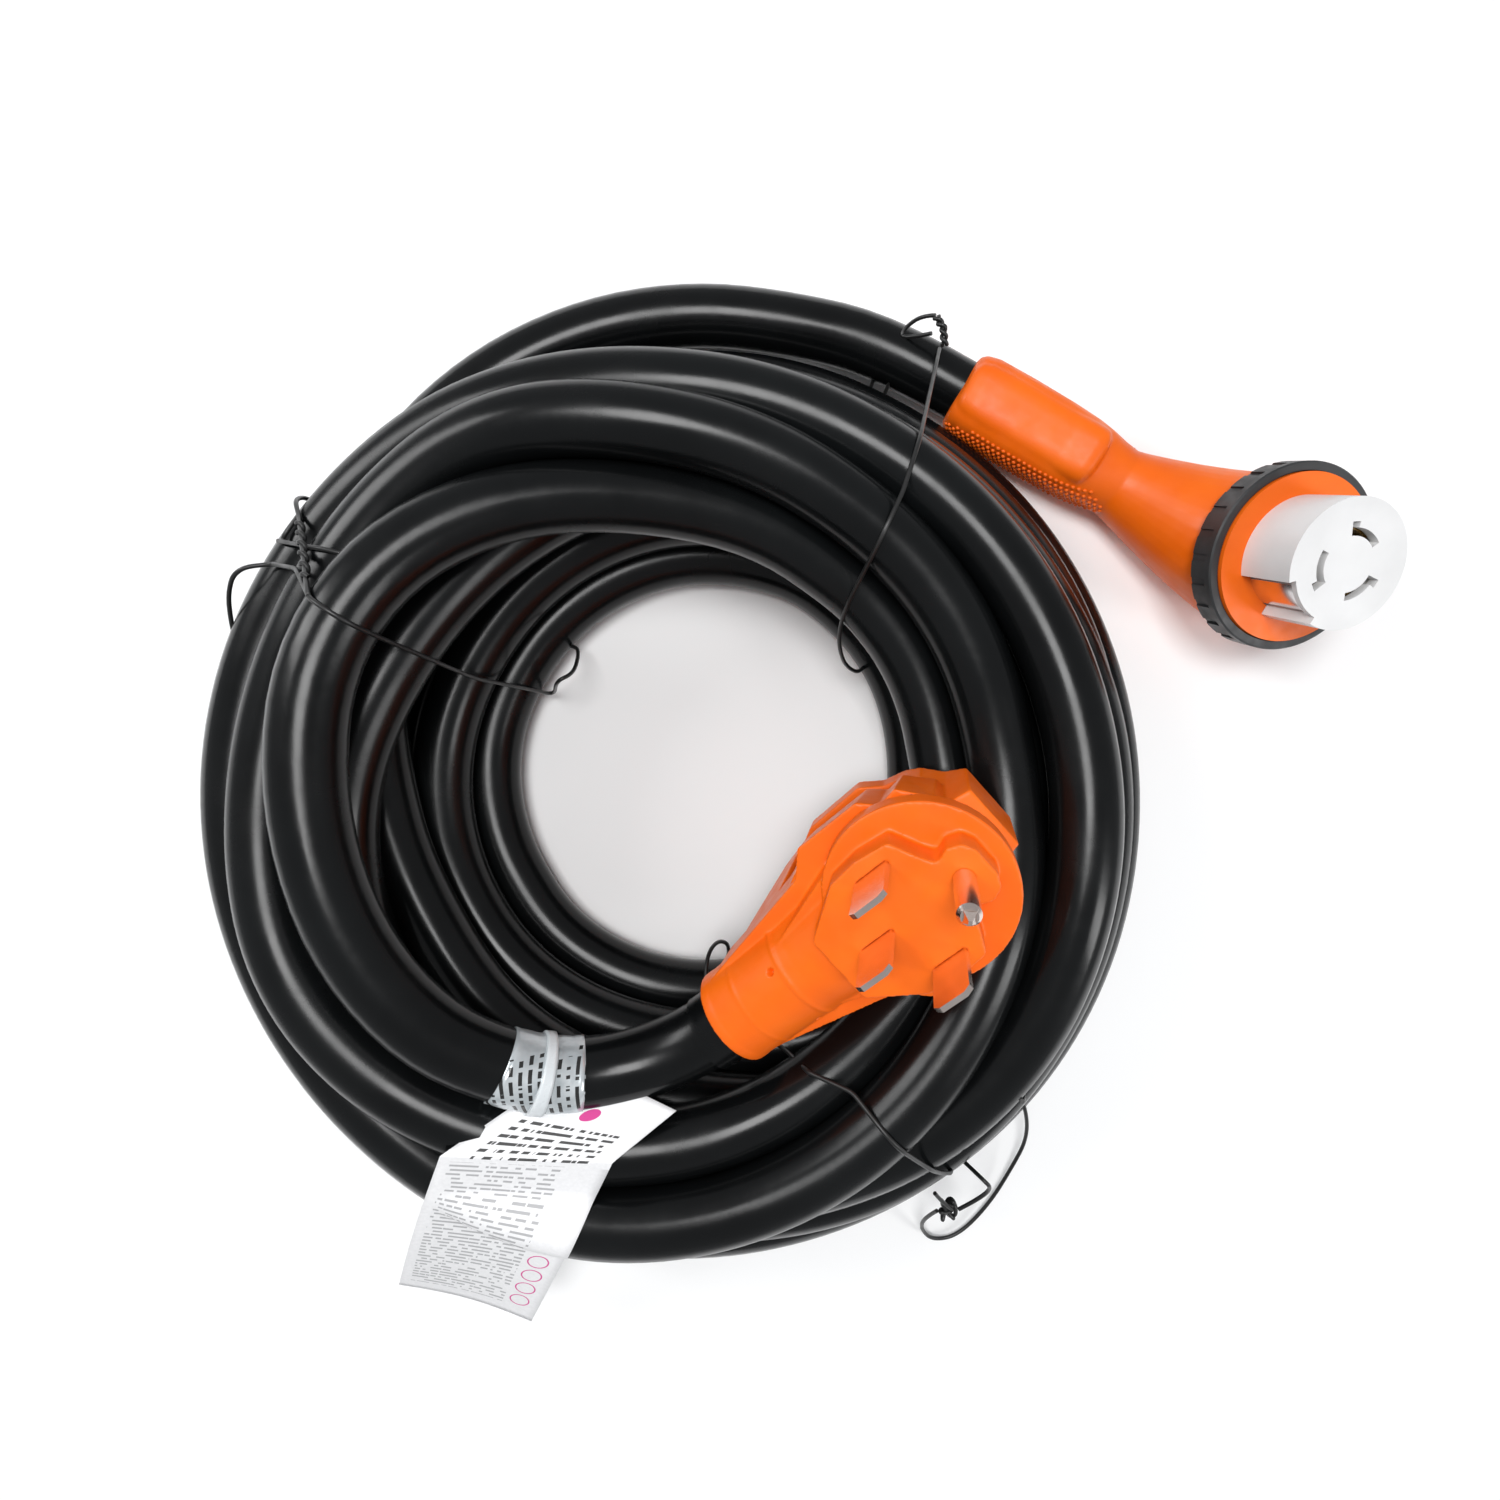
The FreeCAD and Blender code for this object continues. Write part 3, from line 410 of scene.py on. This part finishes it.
# The hole's edge and the coil's outer edge every 30 degrees, as they look from VIEW_HEIGHT.
HOLE_EDGE = (0.098, 0.104, 0.1055, 0.098, 0.0875, 0.078,
             0.072, 0.0695, 0.072, 0.075, 0.082, 0.090)
OUTER_EDGE = (0.217, 0.2155, 0.210, 0.212, 0.218, 0.2255,
              0.2235, 0.220, 0.2185, 0.2155, 0.2185, 0.2175)
FIRST_PASS = 180  # the angle, in degrees, of the first pass on the left
STATIONS = 36  # points in each turn
TURN = 360
# The room under the plug that its handle takes, in the plug's own frame.
HANDLE_LOW, HANDLE_HIGH = (-0.084, -0.033, -0.079), (0.035, 0.033, -0.024)


def polar(points, near):
    """Angle in degrees, distance from the axis and height of each point, with no jumps in angle."""
    rows = []
    for point in points:
        flat = point - COIL_AT
        angle = math.degrees(math.atan2(flat.y, flat.x))
        near = angle + TURN * round((near - angle) / TURN)
        rows.append((near, math.hypot(flat.x, flat.y), flat.z))
    return np.array(rows)


def smooth_between(angles, values, at):
    """A smooth line through values that are known at some angles."""
    slopes = np.gradient(values, angles, axis=0)
    index = np.clip(np.searchsorted(angles, at) - 1, 0, len(angles) - 2)
    span = (angles[index + 1] - angles[index])[:, None]
    t = (at - angles[index])[:, None] / span
    return ((2 * t ** 3 - 3 * t ** 2 + 1) * values[index]
            + (t ** 3 - 2 * t ** 2 + t) * span * slopes[index]
            + (3 * t ** 2 - 2 * t ** 3) * values[index + 1]
            + (t ** 3 - t ** 2) * span * slopes[index + 1])


def clear_of_handle(at, line):
    """How far each point has to go, outwards and up, to leave the room of the plug's handle."""
    back = PLUG.inverted()
    moves = np.zeros_like(line)
    for index, (angle, (radius, height)) in enumerate(zip(np.radians(at), line)):
        outward = Vector((math.cos(angle), math.sin(angle), 0))
        local = back @ (COIL_AT + outward * radius + Vector((0, 0, height)))
        inside = all(low - CABLE_R < value < high + CABLE_R
                     for low, value, high in zip(HANDLE_LOW, local, HANDLE_HIGH))
        if inside and height > 0.03:  # the turns on the floor stay where they are
            down = local.z - (HANDLE_LOW[2] - CABLE_R)
            aside = local.y - (HANDLE_LOW[1] - CABLE_R)
            push = Vector((0, 0, -down)) if down < aside else Vector((0, -aside, 0))
            push = PLUG.to_3x3() @ push
            moves[index] = (push.dot(outward), push.z)
    return moves


def settle(at, goal, fixed, rounds=500):
    """Let the turns push each other apart and sink, while stiffness keeps them smooth.

    The first rounds also draw each point to its goal; the last fifth only clears the contacts."""
    gap = CABLE_DIA - 0.0002
    line = goal.copy()
    ends = np.arange(0, TURN + 1, 30)
    hole = np.interp(at % TURN, ends, HOLE_EDGE + HOLE_EDGE[:1])
    outer = np.interp(at % TURN, ends, OUTER_EDGE + OUTER_EDGE[:1])
    turns = int((at[-1] - at[0]) // TURN)
    for count in range(rounds):
        push = np.zeros_like(line)
        for step in range(STATIONS, STATIONS * (turns + 1), STATIONS):
            apart = line[step:] - line[:-step]
            distance = np.sqrt((apart ** 2).sum(1)) + 1e-9
            share = apart / distance[:, None] * np.maximum(gap - distance, 0)[:, None] * 0.5
            push[step:] += share
            push[:-step] -= share
        if count % 10 == 0:
            push += clear_of_handle(at, line)
        line += push * 0.7
        ease, pull = (0.35, 0.02) if count < rounds * 0.8 else (0.12, 0.0)
        line[1:-1] += ((line[:-2] + line[2:]) / 2 - line[1:-1]) * ease
        line += (goal - line) * pull
        line[:, 1] = np.maximum(line[:, 1] - 0.00005, CABLE_R)
        nearer = 1 - line[:, 1] / VIEW_HEIGHT
        held = np.clip(line[:, 0], hole * nearer + CABLE_R, outer * nearer - CABLE_R)
        line[:, 0] += (held - line[:, 0]) * 0.4
        line[fixed] = goal[fixed]
    return line


def coil_points():
    """The turns between the free arc and the top turn."""
    free = polar(FREE_ARC, 60)
    last_turn = TURN * len(PASSES)
    top = polar(TOP_TURN[::-1], last_turn + 48)
    angles = FIRST_PASS + 90.0 * np.arange(4 * len(PASSES))
    passes = np.array([place for turn in PASSES for place in turn])
    used = angles < top[0, 0] - 20
    knots = np.concatenate([free[:, 0], angles[used], top[:, 0]])
    places = np.concatenate([free[:, 1:], passes[used], top[:, 1:]])
    step = TURN / STATIONS
    at = np.arange(math.ceil(knots[0] / step), math.floor(knots[-1] / step) + 1) * step
    goal = smooth_between(knots, places, at)
    fixed = (at <= free[-1, 0] + 1) | (at >= top[0, 0] - 1)
    line = settle(at, goal, fixed)
    wound = (at > free[-1, 0] + 6) & (at < top[0, 0] - 6)
    points = []
    for angle, (radius, height) in zip(np.radians(at[wound]), line[wound]):
        points.append(spot(radius * math.cos(angle), radius * math.sin(angle), height))
    return points


def tube(name, runs, dia, sides, steps, material):
    """A round curve object in which each run of points is one smooth open line."""
    data = bpy.data.curves.new(name, "CURVE")
    data.dimensions = "3D"
    data.bevel_depth, data.bevel_resolution, data.resolution_u = dia / 2, sides, steps
    data.use_fill_caps = True
    for points in runs:
        spline = data.splines.new("NURBS")
        spline.points.add(len(points) - 1)
        for target, point in zip(spline.points, points):
            target.co = (*point, 1)
        spline.order_u = 3
        spline.use_endpoint_u = True
    piece = bpy.data.objects.new(name, data)
    scene.collection.objects.link(piece)
    data.materials.append(material)
    return piece


def build_cable(material):
    points = FREE_ARC + coil_points() + TOP_TURN[::-1]
    cable = tube("shore_cable", [points], CABLE_DIA, 9, 5, material)
    return keep_piece(cable, "root", "cable_jacket", "cable_coil", "cable_top_turn",
                      "cable_free_arc")


# ---------------------------------------------------------------- moulded bodies

def new_object(name, mesh, material):
    piece = bpy.data.objects.new(name, mesh)
    scene.collection.objects.link(piece)
    mesh.materials.clear()
    mesh.materials.append(material)
    return piece


def shape_of(piece):
    """A mesh of the piece as it is drawn, with its modifiers or its bevel."""
    bpy.context.view_layer.update()
    drawn = piece.evaluated_get(bpy.context.evaluated_depsgraph_get())
    return bpy.data.meshes.new_from_object(drawn)


def soften(name, shell, material, voxel, rounds):
    """Merge closed shells into one skin and round its edges, as a mould does."""
    mesh = bpy.data.meshes.new(name + "_shells")
    shell.to_mesh(mesh)
    shell.free()
    piece = new_object(name, mesh, material)
    remesh = piece.modifiers.new("skin", "REMESH")
    remesh.mode, remesh.voxel_size, remesh.use_smooth_shade = "VOXEL", voxel, True
    smooth = piece.modifiers.new("round", "SMOOTH")
    smooth.factor, smooth.iterations = 0.5, rounds
    final = shape_of(piece)
    piece.modifiers.clear()
    piece.data = final
    final.name = name
    final.polygons.foreach_set("use_smooth", [True] * len(final.polygons))
    return piece


def add_rings(shell, rings):
    """A closed tube through rings of points."""
    loops = [[shell.verts.new(point) for point in ring] for ring in rings]
    count = len(loops[0])
    for low, high in zip(loops, loops[1:]):
        for index in range(count):
            after = (index + 1) % count
            shell.faces.new((low[index], low[after], high[after], high[index]))
    shell.faces.new(list(reversed(loops[0])))
    shell.faces.new(loops[-1])
    bmesh.ops.recalc_face_normals(shell, faces=shell.faces)


def ring_at(centre, x_dir, y_dir, half_x, half_y, power=2.0, count=40):
    """A ring of points: a circle at power 2, squarer above it."""
    points = []
    for index in range(count):
        turn = math.tau * index / count
        c, s = math.cos(turn), math.sin(turn)
        points.append(centre + x_dir * half_x * math.copysign(abs(c) ** (2 / power), c)
                      + y_dir * half_y * math.copysign(abs(s) ** (2 / power), s))
    return points


GRIP_SIDE = HEAD.to_3x3() @ Vector((0, 1, 0))
GRIP_TOP = GRIP_AXIS.cross(GRIP_SIDE)
if GRIP_TOP.z < 0:
    GRIP_TOP = -GRIP_TOP
ELBOW = HEAD.translation


def on_grip(along, aside=0.0, up=0.0):
    return ELBOW + GRIP_AXIS * along + GRIP_SIDE * aside + GRIP_TOP * up


# Along the handle from the cable's end: distance, half width, half height and squareness.
GRIP_SHAPE = [
    (0.1405, 0.0128, 0.0120, 2.6), (0.1398, 0.0148, 0.0142, 2.8), (0.1375, 0.0163, 0.0160, 3.0),
    (0.1320, 0.0174, 0.0171, 3.1), (0.1150, 0.0176, 0.0174, 3.2), (0.0950, 0.0174, 0.0174, 3.2),
    (0.0820, 0.0170, 0.0172, 3.0), (0.0740, 0.0163, 0.0166, 2.7), (0.0670, 0.0153, 0.0156, 2.4),
    (0.0600, 0.0148, 0.0150, 2.15),
]
# Along the pad from its thumb stop: distance, half width and top.
PAD_SHAPE = [
    (0.0735, 0.0064, 0.0165), (0.0745, 0.0109, 0.0192), (0.0765, 0.0132, 0.0203),
    (0.0795, 0.0136, 0.0206), (0.0840, 0.0138, 0.0198), (0.0900, 0.0138, 0.0189),
    (0.1050, 0.0139, 0.0186), (0.1250, 0.0139, 0.0187), (0.1330, 0.0134, 0.0184),
    (0.1375, 0.0120, 0.0176), (0.1395, 0.0094, 0.0160),
]


def add_grip(shell):
    """The handle's body, its waist and the flare up to the bell's mouth, in one skin."""
    head_up = HEAD.to_3x3() @ Vector((0, 0, 1))
    rings = [ring_at(on_grip(along), GRIP_SIDE, GRIP_TOP, wide, high, power)
             for along, wide, high, power in GRIP_SHAPE]
    waist, waist_r = GRIP_SHAPE[-1][:2]
    mouth_r, steps = 0.0340, 18
    start, bend, end = on_grip(waist), on_grip(0.0120), ELBOW + head_up * 0.0224
    turn_up = math.copysign(1, GRIP_AXIS.cross(GRIP_SIDE).dot(GRIP_TOP))
    for step in range(1, steps + 1):
        t = step / steps
        centre = start * (1 - t) ** 2 + bend * 2 * t * (1 - t) + end * t * t
        heading = ((bend - start) * (1 - t) + (end - bend) * t).normalized()
        flare = 0.45 * t + 0.55 * (1 - (1 - t) ** 1.7)
        radius = waist_r + (mouth_r - waist_r) * flare
        rings.append(ring_at(centre, GRIP_SIDE, turn_up * GRIP_SIDE.cross(heading), radius, radius))
    add_rings(shell, rings)


def add_pad(shell):
    """The raised pad on top of the handle, which ends in the thumb stop."""
    base = 0.004  # how far above the handle's axis the pad's own axis lies
    add_rings(shell, [ring_at(on_grip(along, 0, base), GRIP_SIDE, GRIP_TOP, half, high - base, 3.6)
                      for along, half, high in PAD_SHAPE])


def dots_on(piece, places):
    """Small round pips that stand out of a surface where rays from outside meet it."""
    bpy.context.view_layer.update()
    pips = bmesh.new()
    for origin, direction in places:
        found, hit, normal, _ = piece.ray_cast(origin, direction)
        if not found:
            continue
        turn = normal.to_track_quat("Z", "Y").to_matrix().to_4x4()
        bmesh.ops.create_icosphere(pips, subdivisions=2, radius=PIP_SIZE,
                                   matrix=Matrix.Translation(hit) @ turn)
    for face in pips.faces:
        face.smooth = True
    pips_mesh = bpy.data.meshes.new("pips")
    pips.to_mesh(pips_mesh)
    pips.free()
    both = bmesh.new()
    both.from_mesh(piece.data)
    both.from_mesh(pips_mesh)
    both.to_mesh(piece.data)
    both.free()
    bpy.data.meshes.remove(pips_mesh)


def build_housing(material):
    """The connector's handle and bell, with a patch of pips on each side of the handle."""
    shell = bmesh.new()
    add_grip(shell)
    add_pad(shell)
    piece = soften("connector_grip", shell, material, 0.00065, 10)
    for vert in piece.data.vertices:
        vert.co.z = max(vert.co.z, 0.0001)
    places = []
    rows, columns, pitch = 7, 32, 0.0026
    for row in range(rows):
        low = row - rows // 2
        up = 0.0120 - 0.0027 * row
        for column in range(columns):
            along = 0.0590 + pitch * (column + 0.5 * (row % 2))
            if abs(along - 0.0985) > 0.0400 - 0.0011 * low * low:
                continue  # the patch gets shorter away from its middle row
            places.append((on_grip(along, 0.03, up), -GRIP_SIDE))
            if up < 0.002:  # the other side has pips on its lower half only
                places.append((on_grip(along, -0.03, up), GRIP_SIDE))
    dots_on(piece, places)
    return keep_piece(piece, "root", "orange_vinyl", "connector_housing")


def sink(piece, centre, outward, radius, depth):
    """A small round pit in a moulded skin; the place is given in the plug's own frame."""
    centre, outward = PLUG @ centre, (PLUG.to_3x3() @ outward).normalized()
    for vert in piece.data.vertices:
        away = vert.co - centre
        if away.length < 3 * radius:
            aside = (away - outward * away.dot(outward)).length
            if aside < radius:
                vert.co -= outward * depth * (1 - (aside / radius) ** 4)


def build_plug_body(material):
    """The CAD body with three rings round its neck and the flat wing below its flange."""
    shell = bmesh.new()
    shell.from_mesh(NODES["plug_body"].data)
    bmesh.ops.remove_doubles(shell, verts=shell.verts, dist=0.000001)
    side, up = Vector((0, 1, 0)), Vector((0, 0, 1))
    for along, radius, wide in ((-0.0835, 0.0178, 0.0030), (-0.0700, 0.0181, 0.0010),
                                (-0.0500, 0.0188, 0.0012)):
        ends = [Vector((along + step, 0, -NECK_AXIS)) for step in (0, wide)]
        add_rings(shell, [[PLUG @ point for point in ring_at(end, side, up, radius, radius)]
                          for end in ends])
    half = [(-0.0780, 0.0172), (-0.0285, 0.0264), (-0.0205, 0.0345), (0.0052, 0.0344),
            (0.0110, 0.0288), (0.0180, 0.0300), (0.0260, 0.0200)]
    plan = half + [(x, -y) for x, y in reversed(half)]
    add_rings(shell, [[in_plug(x, y * share, z) for x, y in plan]
                      for share, z in ((0.88, -0.048), (1, -0.0215))])
    piece = soften("plug_moulding", shell, material, 0.00055, 4)
    for vent in (Vector((-0.0533, 0.0097, -0.0106)), Vector((-0.0548, -0.0160, -0.0168))):
        outward = vent - Vector((vent.x, 0, -NECK_AXIS))
        sink(piece, vent, outward, 0.0013, 0.003)
    return keep_piece(piece, "root", "orange_vinyl", "plug_body")


# ---------------------------------------------------------------- wires, label and tag

def ground_under(skin, x, y):
    """The height of the cable at a place, seen from above, or of the floor."""
    found, hit, _, _ = skin.ray_cast(Vector((x, y, 0.4)), Vector((0, 0, -1)))
    return max(0.0, hit.z) if found else 0.0


def taut_over(skin, stops, lift, spacing=0.004):
    """A line pulled straight from stop to stop that rests on whatever stands highest under it."""
    line, length = [], 0.0
    for start, end in zip(stops, stops[1:]):
        steps = max(2, int(math.dist(start, end) / spacing))
        for step in range(steps):
            t = step / steps
            x, y = start[0] + (end[0] - start[0]) * t, start[1] + (end[1] - start[1]) * t
            height = ground_under(skin, x, y) + lift
            line.append((length + math.dist(start, end) * t, x, y, height))
        length += math.dist(start, end)
    line.append((length, *stops[-1], ground_under(skin, *stops[-1]) + lift))
    hull = []
    for point in line:
        while len(hull) > 1:
            a, b = hull[-2], hull[-1]
            if (b[3] - a[3]) * (point[0] - a[0]) <= (point[3] - a[3]) * (b[0] - a[0]):
                hull.pop()
            else:
                break
        hull.append(point)
    along, heights = [p[0] for p in hull], [p[3] for p in hull]
    return [Vector((x, y, float(np.interp(at, along, heights)))) for at, x, y, _ in line]


def twisted(path, radius, pitch, phase=0.0):
    """A wire that winds round a straight-ish path."""
    points, run = [], 0.0
    for before, after in zip(path, path[1:]):
        heading = (after - before).normalized()
        side = heading.cross(Vector((0, 0, 1))).normalized()
        up = side.cross(heading)
        steps = max(3, int((after - before).length / pitch * 8))
        for step in range(steps):
            t = step / steps
            turn = math.tau * (run + (after - before).length * t) / pitch + phase
            points.append(before.lerp(after, t) + side * radius * math.cos(turn)
                          + up * radius * math.sin(turn))
        run += (after - before).length
    return points


def vectors(*points):
    return [Vector(point) for point in points]


def knot(centre, size, heading):
    """A small loose tangle of wire."""
    side = Vector((-heading.y, heading.x, 0))
    return [centre + heading * size * math.cos(turn) * 0.7 + side * size * math.sin(turn * 1.5)
            + Vector((0, 0, size * 0.5 * math.sin(turn * 2.3)))
            for turn in np.linspace(0, 3.2 * math.pi, 18)]


def keep_wires(name, runs, material, node):
    tie = tube(name, runs, WIRE_DIA, 4, 8, material)
    keep_piece(tie, "root", "twist_wire", node)


def build_upper_tie(skin, material):
    """The tie beside the connector's handle."""
    over = taut_over(skin, [(0.0605, 0.2020), (0.0330, 0.1210), (0.0166, 0.0861)], TIE_LIFT)
    hook = vectors((0.0150, 0.0800, 0.062), (0.0155, 0.0730, 0.050), (0.0200, 0.0660, 0.034),
                   (0.0290, 0.0640, 0.020), (0.0330, 0.0720, 0.008))
    twist = vectors((0.0610, 0.2000, 0.040), (0.0600, 0.2060, 0.042), (0.0570, 0.2120, 0.041))
    loop = vectors((0.0570, 0.2120, 0.041), (0.0520, 0.2135, 0.038), (0.0465, 0.2120, 0.032),
                   (0.0440, 0.2085, 0.030), (0.0500, 0.2070, 0.033), (0.0560, 0.2060, 0.038))
    spares = [vectors((0.0416, 0.1945, 0.022), (0.0400, 0.1905, 0.012), (0.0390, 0.1880, 0.004)),
              vectors((0.0355, 0.1990, 0.020), (0.0345, 0.1955, 0.010), (0.0338, 0.1930, 0.004))]
    runs = [over + hook, twisted(twist, 0.0010, 0.006), twisted(twist, 0.0010, 0.006, math.pi),
            loop, *spares]
    keep_wires("twist_tie_upper", runs, material, "twist_tie_right")


def build_side_tie(skin, material):
    """The tie on the left, which has the most loose wire."""
    over = taut_over(skin, [(-0.1890, 0.1180), (-0.1635, 0.0800), (-0.1462, 0.0687),
                            (-0.1300, 0.0590), (-0.1110, 0.0562)], TIE_LIFT)
    hook = vectors((-0.1010, 0.0590, 0.044), (-0.0957, 0.0630, 0.034), (-0.0955, 0.0720, 0.024),
                   (-0.0985, 0.0775, 0.014), (-0.1080, 0.0790, 0.006))
    outside = vectors((-0.1990, 0.1330, 0.030), (-0.1985, 0.1325, 0.052), (-0.1950, 0.1270, 0.070))
    cross = taut_over(skin, [(-0.1975, 0.1090), (-0.1766, 0.1023), (-0.1628, 0.0992)], TIE_LIFT)
    tail = taut_over(skin, [(-0.1635, 0.0804), (-0.1784, 0.0936), (-0.1992, 0.1001)], TIE_LIFT)
    fall = vectors((-0.2100, 0.0975, 0.082), (-0.2180, 0.0900, 0.074), (-0.2215, 0.0790, 0.066),
                   (-0.2225, 0.0700, 0.060), (-0.2220, 0.0620, 0.056))
    runs = [outside + over + hook, cross, tail + fall, twisted(over[1:10], 0.0011, 0.008),
            [over[0], *cross[:2]]]
    keep_wires("twist_tie_side", runs, material, "twist_tie_left")


def build_lower_tie(skin, material):
    """The tie under the plug, with a tangle and a wide loop on the floor."""
    over = taut_over(skin, [(0.0000, -0.0870), (0.0159, -0.0914), (0.0351, -0.1123),
                            (0.0526, -0.1314), (0.0660, -0.1420)], TIE_LIFT)
    hook = vectors((-0.0306, -0.0640, 0.010), (-0.0290, -0.0540, 0.026), (-0.0343, -0.0490, 0.040),
                   (-0.0385, -0.0540, 0.050), (-0.0380, -0.0690, 0.056), (-0.0260, -0.0800, 0.058),
                   (-0.0090, -0.0850, 0.060))
    turn_back = vectors((0.0745, -0.1440, 0.052), (0.0790, -0.1500, 0.046),
                        (0.0745, -0.1580, 0.040), (0.0680, -0.1640, 0.036))
    ball = Vector((0.0640, -0.1650, 0.034))
    sweep = vectors((0.0600, -0.1680, 0.030), (0.0560, -0.1770, 0.020), (0.0575, -0.1880, 0.009),
                    (0.0640, -0.1970, 0.002), (0.0760, -0.1950, 0.002), (0.0900, -0.1800, 0.003),
                    (0.1000, -0.1610, 0.006), (0.1050, -0.1450, 0.012))
    sweep += [Vector((x, y, ground_under(skin, x, y) + TIE_LIFT)) for x, y in (
        (0.1010, -0.1270), (0.0930, -0.1110), (0.0860, -0.1030), (0.0800, -0.0990))]
    short = vectors((0.0560, -0.1530, 0.044), (0.0600, -0.1590, 0.040), (0.0650, -0.1640, 0.036))
    runs = [hook + over + turn_back, knot(ball, 0.0042, Vector((1, 0, 0))),
            knot(ball, 0.0034, Vector((0.4, 0.9, 0))), sweep, short]
    keep_wires("twist_tie_lower", runs, material, "twist_tie_bottom")


def centreline(cable):
    """Points along the cable's middle, from the plug's end."""
    data = cable.data.copy()
    data.bevel_depth = 0
    bare = bpy.data.objects.new("bare", data)
    scene.collection.objects.link(bare)
    points = [vert.co.copy() for vert in shape_of(bare).vertices]
    bpy.data.objects.remove(bare)
    return points[::-1]


def band_on(points, start, end, radius, crumple=0.0, rings=14):
    """A band round the cable between two distances along its middle."""
    runs = np.cumsum([0] + [(b - a).length for a, b in zip(points, points[1:])])
    xyz = np.array(points)
    shell = bmesh.new()
    loops = []
    for step in range(rings + 1):
        at = start + (end - start) * step / rings
        here, ahead = (Vector([np.interp(place, runs, xyz[:, k]) for k in range(3)])
                       for place in (at, at + 0.003))
        along = (ahead - here).normalized()
        side = along.cross(Vector((0, 0, 1))).normalized()
        loop = ring_at(here, side, side.cross(along), radius, radius, 2.0, 48)
        for index, point in enumerate(loop):
            ripple = math.sin(index * 0.9 + step * 0.7) * math.sin(index * 0.37 - step * 1.1)
            loop[index] = point + (point - here).normalized() * crumple * ripple
        loops.append(loop)
    add_rings(shell, loops)
    return shell


def build_label(cable, film, nylon):
    """The rating film and the clear tie that holds it and the tag."""
    points = centreline(cable)
    band = band_on(points, 0.062, 0.092, CABLE_R + 0.0005, crumple=0.00025)
    clip = band_on(points, 0.0745, 0.0790, CABLE_R + 0.0017, rings=4)
    for name, slot, node, shell, material in (
            ("rating_film", "label_foil", "rating_label", band, film),
            ("film_tie", "tie_nylon", "label_tie", clip, nylon)):
        mesh = bpy.data.meshes.new(name)
        shell.to_mesh(mesh)
        shell.free()
        for face in mesh.polygons:
            face.use_smooth = len(face.vertices) == 4
        keep_piece(new_object(name, mesh, material), "root", slot, node)


TAG_ROWS = [  # share of the length, left edge, right edge
    (0.00, (-0.0836, -0.0834, 0.0850), (-0.0470, -0.0998, 0.0880)),
    (0.29, (-0.1288, -0.1113, 0.0980), (-0.0685, -0.1137, 0.0980)),
    (1.00, (-0.1662, -0.1913, 0.0430), (-0.1112, -0.2066, 0.0430)),
]


def build_tag(skin, material):
    """A creased paper tag that runs from under the cable over a turn and out past the coil."""
    columns, steps = 16, 48
    crease = TAG_ROWS[1][0]
    verts, uvs = [], []
    for step in range(steps + 1):
        share = step / steps
        low, high = TAG_ROWS[:2] if share < crease else TAG_ROWS[1:]
        t = (share - low[0]) / (high[0] - low[0])
        left = Vector(low[1]).lerp(Vector(high[1]), t)
        right = Vector(low[2]).lerp(Vector(high[2]), t)
        for column in range(columns + 1):
            u = column / columns
            point = left.lerp(right, u)
            if share > crease:
                bow = 0.004 * math.sin(math.pi * t) - 0.003 * t * math.sin(math.pi * u)
                lowest = ground_under(skin, point.x, point.y) + 0.0006
                point.z = max(point.z + bow, lowest)
            verts.append(point)
            uvs.append((u, share))
    faces = [(row * (columns + 1) + column, row * (columns + 1) + column + 1,
              (row + 1) * (columns + 1) + column + 1, (row + 1) * (columns + 1) + column)
             for row in range(steps) for column in range(columns)]
    mesh = bpy.data.meshes.new("printed_tag")
    mesh.from_pydata(verts, [], faces)
    layer = mesh.uv_layers.new(name="tag")
    for loop in mesh.loops:
        layer.data[loop.index].uv = uvs[loop.vertex_index]
    creased = int(crease * steps)
    for face in mesh.polygons:
        face.use_smooth = face.index // columns not in (creased, creased + 1)
    piece = new_object("printed_tag", mesh, material)
    thick = piece.modifiers.new("thick", "SOLIDIFY")
    thick.thickness = 0.0003
    thick.offset = 0.0
    return keep_piece(piece, "root", "tag_paper", "paper_tag")


# ---------------------------------------------------------------- make everything

scene.view_settings.view_transform = "Standard"
add_camera()
add_stage()
FINISHES = paint_nodes()
cable = build_cable(FINISHES["cable_jacket"])
build_housing(FINISHES["orange_vinyl"])
plug_moulding = build_plug_body(FINISHES["orange_vinyl"])

# What lies on the cable is laid on a plain mesh of it, which is then thrown away.
cable_skin = bpy.data.objects.new("cable_skin", shape_of(cable))
scene.collection.objects.link(cable_skin)
bpy.context.view_layer.update()
build_upper_tie(cable_skin, FINISHES["twist_wire"])
build_side_tie(cable_skin, FINISHES["twist_wire"])
build_lower_tie(cable_skin, FINISHES["twist_wire"])
build_label(cable, FINISHES["label_foil"], FINISHES["tie_nylon"])
tag = build_tag(cable_skin, FINISHES["tag_paper"])
bpy.data.objects.remove(cable_skin)
plug_pieces = [NODES[name] for name in sorted(NODES)
               if name.startswith("plug_") and name != "plug_body"]
plug_pieces.append(plug_moulding)
